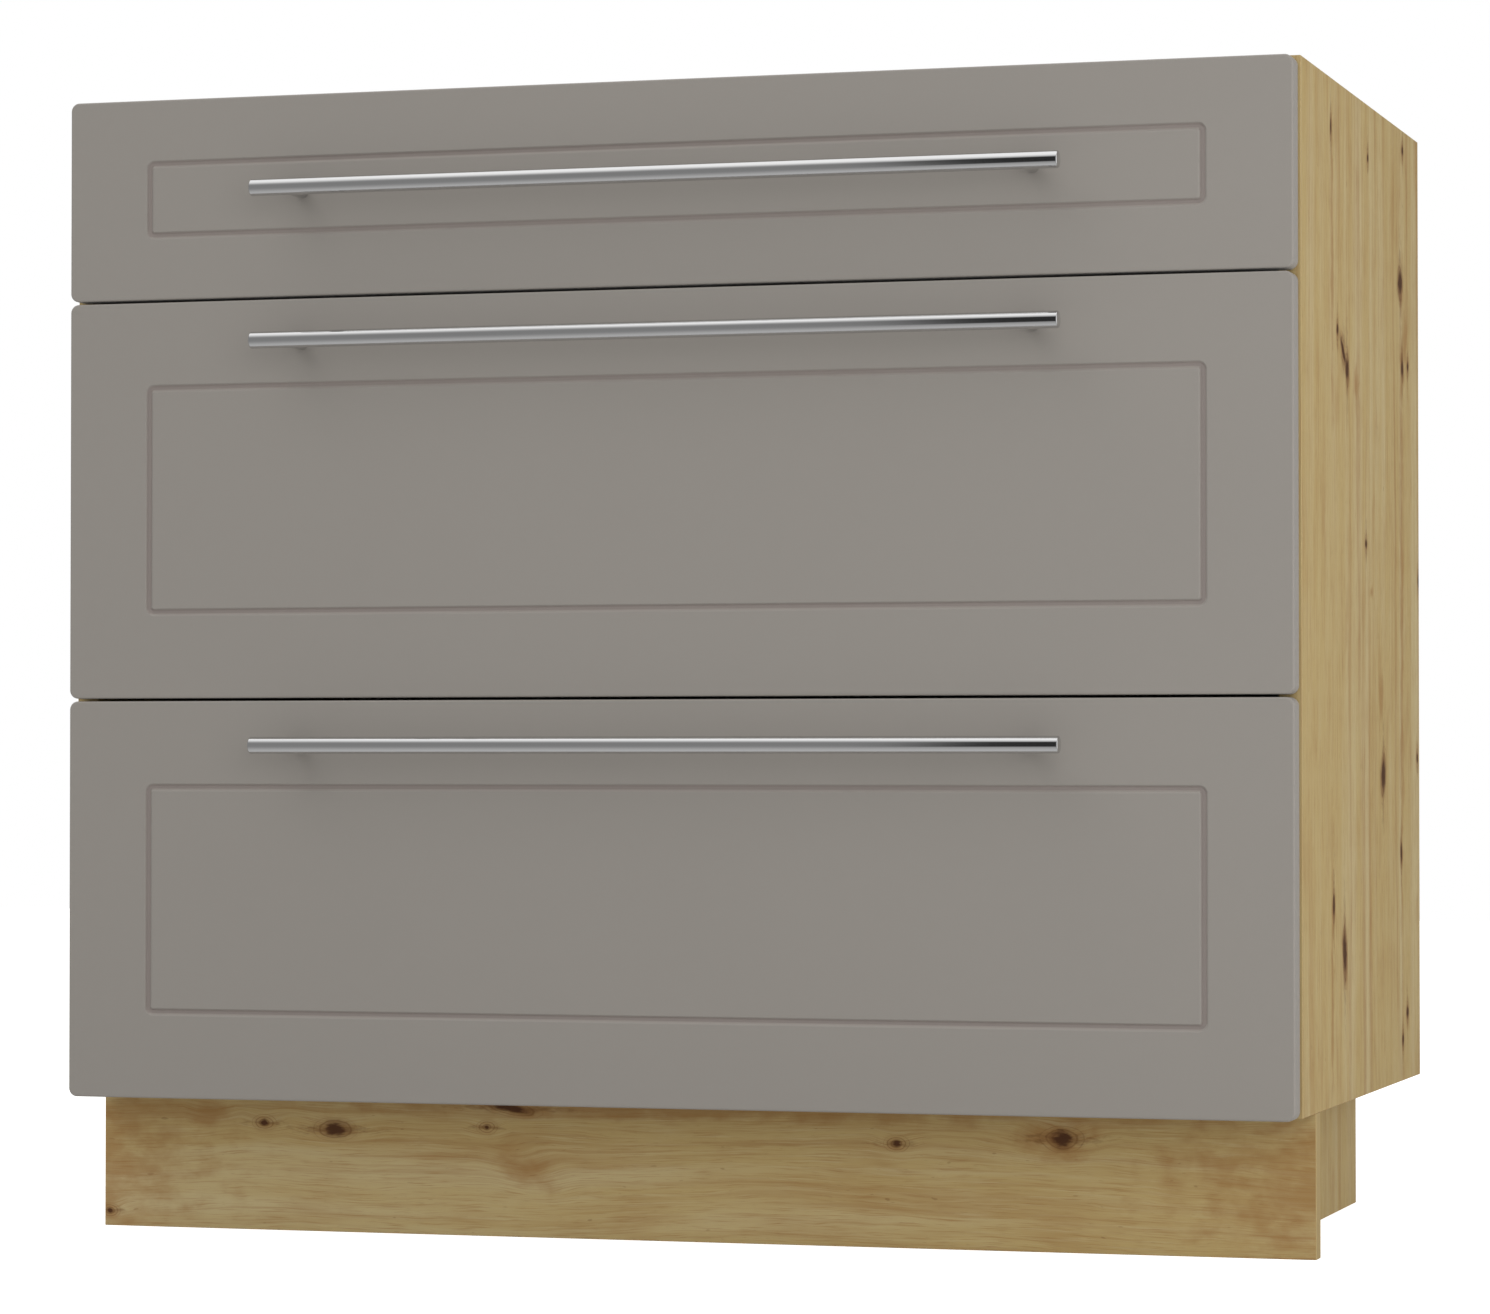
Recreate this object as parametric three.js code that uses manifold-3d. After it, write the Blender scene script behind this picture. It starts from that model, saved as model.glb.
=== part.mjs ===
// Base cabinet with three drawers, in millimetres, +Z up.
//
// The fronts face -Y and +X is to the right of someone who stands before them. The origin lies on the
// floor, under the middle of the whole cabinet, handles included. While the pieces are made, y = 0 is
// the front edge of the carcass boards and y grows towards the wall, and x = 0 is the middle.
//
// The carcass is board on a recessed plinth. Each drawer is a board box behind a milled front, with a
// round bar handle on two posts, and runs on a pair of three-member ball-bearing slides.
import * as THREE from "three";
import { mergeVertices } from "three/addons/utils/BufferGeometryUtils.js";
import Module from "manifold-3d";

const wasm = await Module();
wasm.setup();

// ---- Driving dimensions ------------------------------------------------------------------------

// Carcass
const cabinetWidth = 900;
const carcassDepth = 500;
const carcassHeight = 720;
const boardThickness = 16;
const railDepth = 100;
const railHoleDiameter = 5;
const railHoleInset = 140; // from a rail's end to its worktop screw
const backThickness = 3;
const backInset = 10; // from the rear edges to the back panel
const backGrooveDepth = 8;
const backEdgeClearance = 0.5; // from the back panel's edge to the bottom of its groove
const backFaceClearance = 0.25; // between each face of the back panel and its groove

// Plinth
const plinthHeight = 100;
const plinthThickness = 16;
const plinthSetback = 50; // from the carcass front to the plinth's face
const supportThickness = 16;
const supportInset = 50; // from the side of the cabinet to the support's outer face

// Drawer fronts
const frontThickness = 18;
const bumperGap = 1; // the fronts close on bumpers, this far before the carcass
const frontSideReveal = 1.75;
const frontTopReveal = 1.5;
const frontBottomOverhang = 1; // how far the lowest front reaches below the carcass
const frontGap = 2; // between two fronts
const topFrontHeight = 144.5;
const frontCornerRadius = 6;
const frontEdgeRadius = 2.5;

// Milled line round each front
const lineWidth = 6;
const lineDepth = 2;
const lineWallRounding = 2; // how far the walls curve in on their way down
const lineSideInset = 62; // from the front's side edge to the middle of the line
const tallLineInset = 62; // the same from the top and bottom edges, on a tall front
const topLineInset = 46.5; // and on the top front
const lineCornerRadius = 3.5; // to the middle of the line

// Bar handles
const barDiameter = 12;
const barChamfer = 0.5;
const barOverhang = 26; // from a post's axis to the bar's end
const postSpacing = 536;
const postDiameter = 10;
const barStandOff = 33; // from the front's face to the bar's axis
const tallHandleDrop = 32; // from a tall front's top edge to the bar's axis
const topHandleDrop = 70;
const saddleClearance = 0.3; // between the bar and the hollow end of a post
const spigotDiameter = 6;
const spigotLength = 4; // how deep the post's spigot goes into the bar
const spigotClearance = 0.3;

// Handle screws
const screwDiameter = 4;
const screwHeadDiameter = 8;
const screwHeadHeight = 2.6;
const screwHeadRounding = 0.8;
const screwClearance = 0.3;
const screwEngagement = 10; // how far a screw goes into its post
const screwTipRoom = 2; // from the screw's tip to the bottom of the post's bore
const recessSpan = 4.4;
const recessWidth = 0.9;
const recessDepth = 1.4;

// Drawer boxes
const boxThickness = 16;
const boxDepth = 460;
const boxFloorClearance = 12; // from the carcass bottom to the lowest box
const tallBoxDrop = 56.5; // from a tall front's top edge to its box's top edge
const topBoxDrop = 25.5;
const boxBottomThickness = 3;
const boxBottomRise = 10; // from the box's lower edge to the bottom's underside
const boxGrooveDepth = 7;
const boxBottomClearance = 0.5; // from the bottom's edges to the bottoms of its grooves
const boxBottomPlay = 0.25; // above the bottom, in its grooves

// Ball-bearing slides
const slideLength = 450;
const slideHeight = 45;
const slideThickness = 12.75; // from the cabinet's side to the drawer's side
const slideSetback = 2; // from the carcass front to the slide's front end
const slideRise = 45; // from the box's lower edge to the slide's middle
const slideSteel = 1.25;
const memberGap = 1; // between the webs of two members
const ballTrack = 4; // between the flanges of two members, where the balls run
const cabinetFlange = 9.25; // how far the cabinet member's flanges stand out
const lipHeight = 1.75; // the lips that keep the balls in
const slideHoleDiameter = 5;
const slideHoleInset = 35; // from a member's end to its first screw hole

// Fineness of round shapes, in sides or steps
const barSides = 28;
const postSides = 20;
const holeSides = 12;
const slideHoleSides = 8;
const cornerSteps = 4;
const roundingSteps = 3;
const headSteps = 2;

// A cut starts this far outside the solid that it opens.
const cutMargin = 1;

// ---- Sizes that follow from these --------------------------------------------------------------

const halfWidth = cabinetWidth / 2;
const carcassBottom = plinthHeight;
const carcassTop = plinthHeight + carcassHeight;
const insideHalfWidth = halfWidth - boardThickness;
const backRear = carcassDepth - backInset;
const backFront = backRear - backThickness;
const backEntry = backGrooveDepth - backEdgeClearance;
const backGrooveFront = backFront - backFaceClearance;
const backGrooveRear = backRear + backFaceClearance;

const frontRear = -bumperGap;
const frontFace = frontRear - frontThickness;
const frontHalfWidth = halfWidth - frontSideReveal;
const allFrontsHeight = carcassHeight + frontBottomOverhang - frontTopReveal;
const tallFrontHeight = (allFrontsHeight - topFrontHeight - 2 * frontGap) / 2;

const barRadius = barDiameter / 2;
const barAxis = frontFace - barStandOff;
const barRear = barAxis + barRadius;
const barLength = postSpacing + 2 * barOverhang;
const screwHoleDiameter = screwDiameter + 2 * screwClearance;

const boxHalfWidth = insideHalfWidth - slideThickness;
const boxInsideHalfWidth = boxHalfWidth - boxThickness;
const boxFront = frontRear;
const boxRear = boxFront + boxDepth;
const boxRise = frontBottomOverhang + boardThickness + boxFloorClearance;
const boxGrooveBottom = boxRise + boxBottomRise;
const boxGrooveTop = boxGrooveBottom + boxBottomThickness + boxBottomPlay;
const boxBottomEntry = boxGrooveDepth - boxBottomClearance;

const slideRear = slideSetback + slideLength;
const slideHoleStations = [
  slideSetback + slideHoleInset,
  (slideSetback + slideRear) / 2,
  slideRear - slideHoleInset,
];

// The three drawers, from the top one down.
const drawerPlans = [
  {
    name: "top",
    frontHeight: topFrontHeight,
    lineInset: topLineInset,
    handleDrop: topHandleDrop,
    boxDrop: topBoxDrop,
  },
  ...["middle", "bottom"].map((name) => ({
    name,
    frontHeight: tallFrontHeight,
    lineInset: tallLineInset,
    handleDrop: tallHandleDrop,
    boxDrop: tallBoxDrop,
  })),
];

const sides = [
  { name: "left", sign: -1 },
  { name: "right", sign: 1 },
];

// ---- Finishes ----------------------------------------------------------------------------------

const oakDecor = { color: 0xaa956c, roughness: 0.6, metalness: 0 };
const taupeLacquer = { color: 0x8c8781, roughness: 0.55, metalness: 0 };
const polishedChrome = { color: 0xd4d5d7, roughness: 0.12, metalness: 1 };
const zincSteel = { color: 0xaeb1b5, roughness: 0.35, metalness: 1 };
const whiteBoard = { color: 0xe6e4df, roughness: 0.5, metalness: 0 };
const whiteHardboard = { color: 0xdedcd6, roughness: 0.55, metalness: 0 };

// ---- Outlines and solids -----------------------------------------------------------------------

function polygon(points) {
  return new THREE.Shape(points.map(([a, b]) => new THREE.Vector2(a, b)));
}

function circle(diameter, count) {
  const angles = Array.from({ length: count }, (_, i) => (2 * Math.PI * i) / count);
  return polygon(angles.map((angle) => [Math.cos(angle), Math.sin(angle)].map((c) => (c * diameter) / 2)));
}

// A rectangle with round corners, about x = 0, between two heights.
function roundedRectangle(half, bottom, top, radius) {
  const corners = [
    { x: half - radius, z: bottom + radius, start: -Math.PI / 2 },
    { x: half - radius, z: top - radius, start: 0 },
    { x: radius - half, z: top - radius, start: Math.PI / 2 },
    { x: radius - half, z: bottom + radius, start: Math.PI },
  ];
  const points = corners.flatMap(({ x, z, start }) =>
    Array.from({ length: cornerSteps + 1 }, (_, i) => {
      const angle = start + ((Math.PI / 2) * i) / cornerSteps;
      return [x + radius * Math.cos(angle), z + radius * Math.sin(angle)];
    }),
  );
  return polygon(points);
}

// How an outline is turned before it is drawn out along each axis: it lies in (y, z) for x, in (x, z)
// for y and in (x, y) for z.
const X = new THREE.Vector3(1, 0, 0);
const Y = new THREE.Vector3(0, 1, 0);
const Z = new THREE.Vector3(0, 0, 1);
const turnFor = {
  x: new THREE.Matrix4().makeBasis(Y, Z, X),
  y: new THREE.Matrix4().makeBasis(X, Z, Y.clone().negate()),
  z: new THREE.Matrix4(),
};

// An outline drawn out along an axis.
function prism(axis, outline, from, to) {
  const geometry = new THREE.ExtrudeGeometry(outline, { depth: to - from, bevelEnabled: false });
  const start = { x: [from, 0, 0], y: [0, to, 0], z: [0, 0, from] }[axis];
  return geometry.applyMatrix4(turnFor[axis]).translate(...start);
}

// A box between two corners, each given as [x, y, z]. The corners may come in any order.
function block(a, b) {
  const size = a.map((value, i) => Math.abs(b[i] - value));
  const middle = a.map((value, i) => (value + b[i]) / 2);
  return new THREE.BoxGeometry(...size).translate(...middle);
}

// Turns a closed geometry into a solid that can be joined and cut, and back.
function solidOf(geometry) {
  const bare = geometry.clone();
  bare.deleteAttribute("normal");
  bare.deleteAttribute("uv");
  const merged = mergeVertices(bare);
  const vertProperties = merged.getAttribute("position").array;
  const triVerts = merged.getIndex().array;
  return new wasm.Manifold(new wasm.Mesh({ numProp: 3, vertProperties, triVerts }));
}

function geometryOf(solid) {
  const { vertProperties, triVerts } = solid.getMesh();
  const geometry = new THREE.BufferGeometry();
  geometry.setAttribute("position", new THREE.BufferAttribute(vertProperties, 3));
  geometry.setIndex(new THREE.BufferAttribute(triVerts, 1));
  geometry.computeVertexNormals();
  return geometry;
}

// A round rod along an axis, through a point [x, y, z] whose own place along that axis is 0.
function rod(axis, diameter, count, from, to, through) {
  return solidOf(prism(axis, circle(diameter, count), from, to).translate(...through));
}

// An outline in (x, z) drawn out along y, with its edge rounded at one end and square at the other.
function easedSolid(outline, easedEnd, squareEnd, rounding, steps) {
  const inward = Math.sign(squareEnd - easedEnd);
  const farEnd = squareEnd + inward * 2 * rounding;
  const geometry = new THREE.ExtrudeGeometry(outline, {
    depth: Math.abs(squareEnd - easedEnd),
    bevelThickness: rounding,
    bevelSize: rounding,
    bevelOffset: -rounding,
    bevelSegments: steps,
  });
  geometry.applyMatrix4(turnFor.y).translate(0, Math.max(easedEnd, farEnd) - rounding, 0);
  geometry.computeBoundingBox();
  const { min, max } = geometry.boundingBox;
  const excess = block(
    [min.x - cutMargin, squareEnd, min.z - cutMargin],
    [max.x + cutMargin, farEnd + inward * cutMargin, max.z + cutMargin],
  );
  return solidOf(geometry).subtract(solidOf(excess));
}

function cutAway(solid, cuts) {
  return cuts.reduce((rest, cut) => rest.subtract(cut), solid);
}

function piece(name, geometry, finish) {
  const mesh = new THREE.Mesh(geometry, new THREE.MeshStandardMaterial(finish));
  mesh.name = name;
  return mesh;
}

// ---- Carcass -----------------------------------------------------------------------------------

function sidePanel({ name, sign }) {
  const outer = sign * halfWidth;
  const inner = sign * insideHalfWidth;
  const grooveFloor = inner + sign * backGrooveDepth;
  const outline = polygon([
    [outer, 0],
    [inner, 0],
    [inner, backGrooveFront],
    [grooveFloor, backGrooveFront],
    [grooveFloor, backGrooveRear],
    [inner, backGrooveRear],
    [inner, carcassDepth],
    [outer, carcassDepth],
  ]);
  return piece(`side_panel_${name}`, prism("z", outline, carcassBottom, carcassTop), oakDecor);
}

function bottomPanel() {
  const top = carcassBottom + boardThickness;
  const grooveFloor = top - backGrooveDepth;
  const outline = polygon([
    [0, carcassBottom],
    [carcassDepth, carcassBottom],
    [carcassDepth, top],
    [backGrooveRear, top],
    [backGrooveRear, grooveFloor],
    [backGrooveFront, grooveFloor],
    [backGrooveFront, top],
    [0, top],
  ]);
  return piece("bottom_panel", prism("x", outline, -insideHalfWidth, insideHalfWidth), oakDecor);
}

// A flat rail that ties the sides together, with a hole near each end for a worktop screw.
function topRail(name, front) {
  const underside = carcassTop - boardThickness;
  const rail = block(
    [-insideHalfWidth, front, underside],
    [insideHalfWidth, front + railDepth, carcassTop],
  );
  const holes = sides.map(({ sign }) => {
    const centre = [sign * (insideHalfWidth - railHoleInset), front + railDepth / 2, 0];
    return rod("z", railHoleDiameter, holeSides, underside - cutMargin, carcassTop + cutMargin, centre);
  });
  return piece(name, geometryOf(cutAway(solidOf(rail), holes)), oakDecor);
}

function backPanel() {
  const lowerEdge = carcassBottom + boardThickness - backEntry;
  const reach = insideHalfWidth + backEntry;
  const geometry = block([-reach, backFront, lowerEdge], [reach, backRear, carcassTop]);
  return piece("back_panel", geometry, whiteHardboard);
}

function plinthFront() {
  const rear = plinthSetback + plinthThickness;
  const geometry = block([-halfWidth, plinthSetback, 0], [halfWidth, rear, plinthHeight]);
  return piece("plinth_front", geometry, oakDecor);
}

function plinthSupport({ name, sign }) {
  const outer = halfWidth - supportInset;
  const front = plinthSetback + plinthThickness;
  const geometry = block(
    [sign * outer, front, 0],
    [sign * (outer - supportThickness), carcassDepth, plinthHeight],
  );
  return piece(`plinth_support_${name}`, geometry, oakDecor);
}

function carcass() {
  const group = new THREE.Group();
  group.add(
    ...sides.map(sidePanel),
    bottomPanel(),
    topRail("top_rail_front", 0),
    topRail("top_rail_rear", backFront - railDepth),
    backPanel(),
    plinthFront(),
    ...sides.map(plinthSupport),
  );
  return group;
}

// ---- Drawer front and handle -------------------------------------------------------------------
// Heights in a drawer are measured from the lower edge of its front.

// A point on the axis of a handle's post and screw.
function postAxis(plan, sign) {
  return [(sign * postSpacing) / 2, 0, plan.frontHeight - plan.handleDrop];
}

function boxTop(plan) {
  return plan.frontHeight - plan.boxDrop;
}

// A handle screw starts behind the box's front board where that board is high enough to be in its way.
function screwPassesBox(plan) {
  const headBottom = plan.frontHeight - plan.handleDrop - screwHeadDiameter / 2;
  return headBottom - screwClearance < boxTop(plan);
}

function handleScrewHoles(plan, front, rear) {
  return sides.map(({ sign }) =>
    rod("y", screwHoleDiameter, holeSides, front - cutMargin, rear + cutMargin, postAxis(plan, sign)),
  );
}

// What is milled out for the line: a ring whose walls curve in towards the bottom of the line.
function lineCutter(plan) {
  const half = frontHalfWidth - lineSideInset;
  const reach = lineWidth / 2;
  const bottom = plan.lineInset;
  const top = plan.frontHeight - plan.lineInset;
  const ring = roundedRectangle(half + reach, bottom - reach, top + reach, lineCornerRadius + reach);
  ring.holes.push(roundedRectangle(half - reach, bottom + reach, top - reach, lineCornerRadius - reach));
  const geometry = new THREE.ExtrudeGeometry(ring, {
    depth: cutMargin,
    bevelThickness: lineDepth,
    bevelSize: lineWallRounding,
    bevelOffset: -lineWallRounding,
    bevelSegments: roundingSteps,
  });
  return solidOf(geometry.applyMatrix4(turnFor.y).translate(0, frontFace, 0));
}

function drawerFront(plan) {
  const outline = roundedRectangle(frontHalfWidth, 0, plan.frontHeight, frontCornerRadius);
  const plain = easedSolid(outline, frontFace, frontRear, frontEdgeRadius, roundingSteps);
  const milled = cutAway(plain, [lineCutter(plan), ...handleScrewHoles(plan, frontFace, frontRear)]);
  return piece(`${plan.name}_drawer_front`, geometryOf(milled), taupeLacquer);
}

// The bar lies along x. A blind hole behind each end takes the spigot of a post.
function handleBar(plan) {
  const straight = barLength - 2 * barChamfer;
  const bar = new THREE.ExtrudeGeometry(circle(barDiameter, barSides), {
    depth: straight,
    bevelThickness: barChamfer,
    bevelSize: barChamfer,
    bevelOffset: -barChamfer,
    bevelSegments: 1,
  });
  const [, , height] = postAxis(plan, 1);
  bar.applyMatrix4(turnFor.x).translate(-straight / 2, barAxis, height);
  const holeDiameter = spigotDiameter + 2 * spigotClearance;
  const holeEnd = barRear - spigotLength - spigotClearance;
  const holes = sides.map(({ sign }) =>
    rod("y", holeDiameter, holeSides, holeEnd, barRear + cutMargin, postAxis(plan, sign)),
  );
  return piece(`${plan.name}_handle_bar`, geometryOf(cutAway(solidOf(bar), holes)), polishedChrome);
}

// A post stands on the front's face. Its other end is hollowed to the bar, with a spigot inside it.
function handlePost(plan, { name, sign }) {
  const axis = postAxis(plan, sign);
  const [x, , z] = axis;
  const shank = rod("y", postDiameter, postSides, barAxis, frontFace, axis);
  const saddleDiameter = barDiameter + 2 * saddleClearance;
  const saddle = rod("x", saddleDiameter, barSides, x - postDiameter, x + postDiameter, [0, barAxis, z]);
  const spigotRoot = (barRear + frontFace) / 2;
  const spigot = rod("y", spigotDiameter, holeSides, barRear - spigotLength, spigotRoot, axis);
  const boreEnd = frontFace - screwEngagement - screwTipRoom;
  const bore = rod("y", screwHoleDiameter, holeSides, boreEnd, frontFace + cutMargin, axis);
  const post = shank.subtract(saddle).add(spigot).subtract(bore);
  return piece(`${plan.name}_handle_post_${name}`, geometryOf(post), polishedChrome);
}

// A pan-head screw with a cross recess, put in from inside the drawer.
function handleScrew(plan, { name, sign }) {
  const axis = postAxis(plan, sign);
  const [x, , z] = axis;
  const seat = screwPassesBox(plan) ? boxFront + boxThickness : frontRear;
  const top = seat + screwHeadHeight;
  const tip = frontFace - screwEngagement;
  const shank = rod("y", screwDiameter, holeSides, tip, (seat + top) / 2, axis);
  const headOutline = circle(screwHeadDiameter, postSides);
  const head = easedSolid(headOutline, top, seat, screwHeadRounding, headSteps).translate(axis);
  const slot = (width, height) =>
    solidOf(
      block(
        [x - width / 2, top - recessDepth, z - height / 2],
        [x + width / 2, top + cutMargin, z + height / 2],
      ),
    );
  const recess = [slot(recessSpan, recessWidth), slot(recessWidth, recessSpan)];
  const screw = cutAway(head.add(shank), recess);
  return piece(`${plan.name}_handle_screw_${name}`, geometryOf(screw), zincSteel);
}

// ---- Drawer box --------------------------------------------------------------------------------

// The section of a box board, across its thickness and in height. Its groove for the bottom is in the
// inner face.
function boxBoardSection(plan, outerFace, innerFace) {
  const grooveFloor = innerFace + Math.sign(outerFace - innerFace) * boxGrooveDepth;
  return polygon([
    [outerFace, boxRise],
    [innerFace, boxRise],
    [innerFace, boxGrooveBottom],
    [grooveFloor, boxGrooveBottom],
    [grooveFloor, boxGrooveTop],
    [innerFace, boxGrooveTop],
    [innerFace, boxTop(plan)],
    [outerFace, boxTop(plan)],
  ]);
}

function boxSide(plan, { name, sign }) {
  const section = boxBoardSection(plan, sign * boxHalfWidth, sign * boxInsideHalfWidth);
  return piece(`${plan.name}_box_side_${name}`, prism("y", section, boxFront, boxRear), whiteBoard);
}

function boxFrontBoard(plan) {
  const inner = boxFront + boxThickness;
  const section = boxBoardSection(plan, boxFront, inner);
  const board = solidOf(prism("x", section, -boxInsideHalfWidth, boxInsideHalfWidth));
  const holes = screwPassesBox(plan) ? handleScrewHoles(plan, boxFront, inner) : [];
  return piece(`${plan.name}_box_front`, geometryOf(cutAway(board, holes)), whiteBoard);
}

function boxBackBoard(plan) {
  const section = boxBoardSection(plan, boxRear, boxRear - boxThickness);
  const geometry = prism("x", section, -boxInsideHalfWidth, boxInsideHalfWidth);
  return piece(`${plan.name}_box_back`, geometry, whiteBoard);
}

function boxBottom(plan) {
  const reach = boxInsideHalfWidth + boxBottomEntry;
  const front = boxFront + boxThickness - boxBottomEntry;
  const rear = boxRear - boxThickness + boxBottomEntry;
  const geometry = block(
    [-reach, front, boxGrooveBottom],
    [reach, rear, boxGrooveBottom + boxBottomThickness],
  );
  return piece(`${plan.name}_box_bottom`, geometry, whiteHardboard);
}

// ---- Ball-bearing slide ------------------------------------------------------------------------
// Each member is a channel of folded steel. In its section, a depth is the distance from the cabinet's
// side, towards the drawer, and a height is from the slide's middle.

// A channel with its web at one depth, whose flanges run to another and may end in inward lips.
function channelSection(webDepth, tipDepth, halfHeight, lip) {
  const fold = Math.sign(tipDepth - webDepth) * slideSteel;
  const inside = halfHeight - slideSteel;
  const lipEdge = [
    [tipDepth, inside - lip],
    [tipDepth - fold, inside - lip],
    [tipDepth - fold, inside],
  ];
  const upper = [
    [webDepth, halfHeight],
    [tipDepth, halfHeight],
    ...(lip > 0 ? lipEdge : [[tipDepth, inside]]),
    [webDepth + fold, inside],
  ];
  const lower = upper.map(([depth, height]) => [depth, -height]).reverse();
  return [...upper, ...lower];
}

const cabinetMemberHalf = slideHeight / 2;
const intermediateHalf = cabinetMemberHalf - slideSteel - ballTrack;
const drawerMemberHalf = intermediateHalf - slideSteel - ballTrack;
const intermediateWeb = slideSteel + memberGap;
const intermediateTip = slideThickness - slideSteel - memberGap;
const drawerMemberTip = intermediateWeb + slideSteel + memberGap;

const slideMembers = [
  {
    name: "cabinet_member",
    section: channelSection(0, cabinetFlange, cabinetMemberHalf, lipHeight),
    screwedWeb: slideSteel / 2,
  },
  {
    name: "intermediate_member",
    section: channelSection(intermediateWeb, intermediateTip, intermediateHalf, lipHeight),
  },
  {
    name: "drawer_member",
    section: channelSection(slideThickness, drawerMemberTip, drawerMemberHalf, 0),
    screwedWeb: slideThickness - slideSteel / 2,
  },
];

// The members that are screwed on have holes in their webs.
function slideMember(plan, { name, section, screwedWeb }, side) {
  const middle = boxRise + slideRise;
  const across = (depth) => side.sign * (insideHalfWidth - depth);
  const outline = polygon(section.map(([depth, height]) => [across(depth), middle + height]));
  const channel = solidOf(prism("y", outline, slideSetback, slideRear));
  const holes = (screwedWeb === undefined ? [] : slideHoleStations).map((station) => {
    const [from, to] = [across(screwedWeb) - slideSteel, across(screwedWeb) + slideSteel];
    return rod("x", slideHoleDiameter, slideHoleSides, from, to, [0, station, middle]);
  });
  const geometry = geometryOf(cutAway(channel, holes));
  return piece(`${plan.name}_slide_${side.name}_${name}`, geometry, zincSteel);
}

function slide(plan, side) {
  const group = new THREE.Group();
  group.add(...slideMembers.map((member) => slideMember(plan, member, side)));
  return group;
}

// ---- Drawers -----------------------------------------------------------------------------------

function drawer(plan, bottom) {
  const group = new THREE.Group();
  group.add(
    drawerFront(plan),
    handleBar(plan),
    ...sides.map((side) => handlePost(plan, side)),
    ...sides.map((side) => handleScrew(plan, side)),
    ...sides.map((side) => boxSide(plan, side)),
    boxFrontBoard(plan),
    boxBackBoard(plan),
    boxBottom(plan),
    ...sides.map((side) => slide(plan, side)),
  );
  group.position.z = bottom;
  return group;
}

// The fronts follow each other down from the top, one gap apart.
function drawerStack() {
  let top = carcassTop - frontTopReveal;
  return drawerPlans.map((plan) => {
    const bottom = top - plan.frontHeight;
    top = bottom - frontGap;
    return drawer(plan, bottom);
  });
}

// ---- Cabinet -----------------------------------------------------------------------------------

const foremost = barAxis - barRadius;
const cabinet = new THREE.Group();
cabinet.add(carcass(), ...drawerStack());
cabinet.position.y = -(foremost + carcassDepth) / 2;

export default cabinet;
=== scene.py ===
"""A kitchen base cabinet with three drawers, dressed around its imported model.

The carcass and plinth are chipboard with an oak decor, the fronts are milled fibreboard in a matt taupe
lacquer, the handles are chromed bars, and each drawer is a white board box on two ball-bearing slides.
Sizes are in metres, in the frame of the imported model: X to the right, fronts towards -Y, Z up.
"""

import math
from collections import namedtuple
from functools import partial

import bmesh
import bpy
from mathutils import Euler, Matrix, Vector


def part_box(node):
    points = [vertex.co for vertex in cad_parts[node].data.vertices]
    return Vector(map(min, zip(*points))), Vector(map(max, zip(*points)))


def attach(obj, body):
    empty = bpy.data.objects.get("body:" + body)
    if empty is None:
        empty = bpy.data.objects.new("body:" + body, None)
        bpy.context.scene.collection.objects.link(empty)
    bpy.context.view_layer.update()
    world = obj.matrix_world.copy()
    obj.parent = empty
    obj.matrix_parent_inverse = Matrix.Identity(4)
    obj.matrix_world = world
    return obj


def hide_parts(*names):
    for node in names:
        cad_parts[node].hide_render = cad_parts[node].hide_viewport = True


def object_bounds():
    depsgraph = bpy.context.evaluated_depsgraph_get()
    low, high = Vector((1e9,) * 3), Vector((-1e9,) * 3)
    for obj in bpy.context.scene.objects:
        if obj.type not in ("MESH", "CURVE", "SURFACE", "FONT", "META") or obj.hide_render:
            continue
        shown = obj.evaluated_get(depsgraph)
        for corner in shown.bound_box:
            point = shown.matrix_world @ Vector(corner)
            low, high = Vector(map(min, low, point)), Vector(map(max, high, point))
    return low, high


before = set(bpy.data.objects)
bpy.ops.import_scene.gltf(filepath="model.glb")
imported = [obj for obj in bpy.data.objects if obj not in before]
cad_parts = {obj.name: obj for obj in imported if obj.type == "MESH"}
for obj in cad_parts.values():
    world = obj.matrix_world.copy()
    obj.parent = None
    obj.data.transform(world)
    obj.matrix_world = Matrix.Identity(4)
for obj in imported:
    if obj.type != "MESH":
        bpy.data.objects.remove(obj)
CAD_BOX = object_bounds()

bl_info = {
    "name": "Base cabinet with drawers",
    "version": (1, 0, 0),
    "blender": (4, 5, 0),
    "location": "3D View > Sidebar > Cabinet",
    "description": "Builds the visible surfaces of a base cabinet with three drawers",
    "category": "Object",
}

MM = 0.001
DRAWERS = ("top", "middle", "bottom")
SIDES = ("left", "right")
QUARTER = math.pi / 2
BACKWARDS, DOWN = (0, 1, 0), (0, 0, -1)

CORNER_STEPS = 8          # flat pieces in each quarter turn of a milled corner or edge
ROUND_STEPS = 48          # flat pieces around a handle bar
HEAD_STEPS = 24           # the same around a screw's head
SHANK_STEPS = 16          # and around its shank
SLOT_SHARE = 0.22         # width of a cross recess's slots, as a share of its size
MERGE_GAP = 1e-6          # vertices closer than this are one
SMOOTH_LIMIT = math.radians(50)   # faces that meet at less than this share their shading


def linear(code):
    """Turns an sRGB hex colour into the linear red, green and blue that the shaders use."""
    channels = [int(code[i:i + 2], 16) / 255 for i in (0, 2, 4)]
    return tuple(c / 12.92 if c <= 0.04045 else ((c + 0.055) / 1.055) ** 2.4 for c in channels)


# --- Settings ---

def length(name, value, description):
    """A size in metres that the sidebar shows."""
    return bpy.props.FloatProperty(
        name=name, description=description, default=value, min=0, precision=5, unit="LENGTH",
        subtype="DISTANCE")


def colour(name, code, description):
    """A colour that the sidebar shows, given as an sRGB hex value."""
    return bpy.props.FloatVectorProperty(
        name=name, description=description, default=linear(code), size=3, min=0, max=1, subtype="COLOR")


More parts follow.
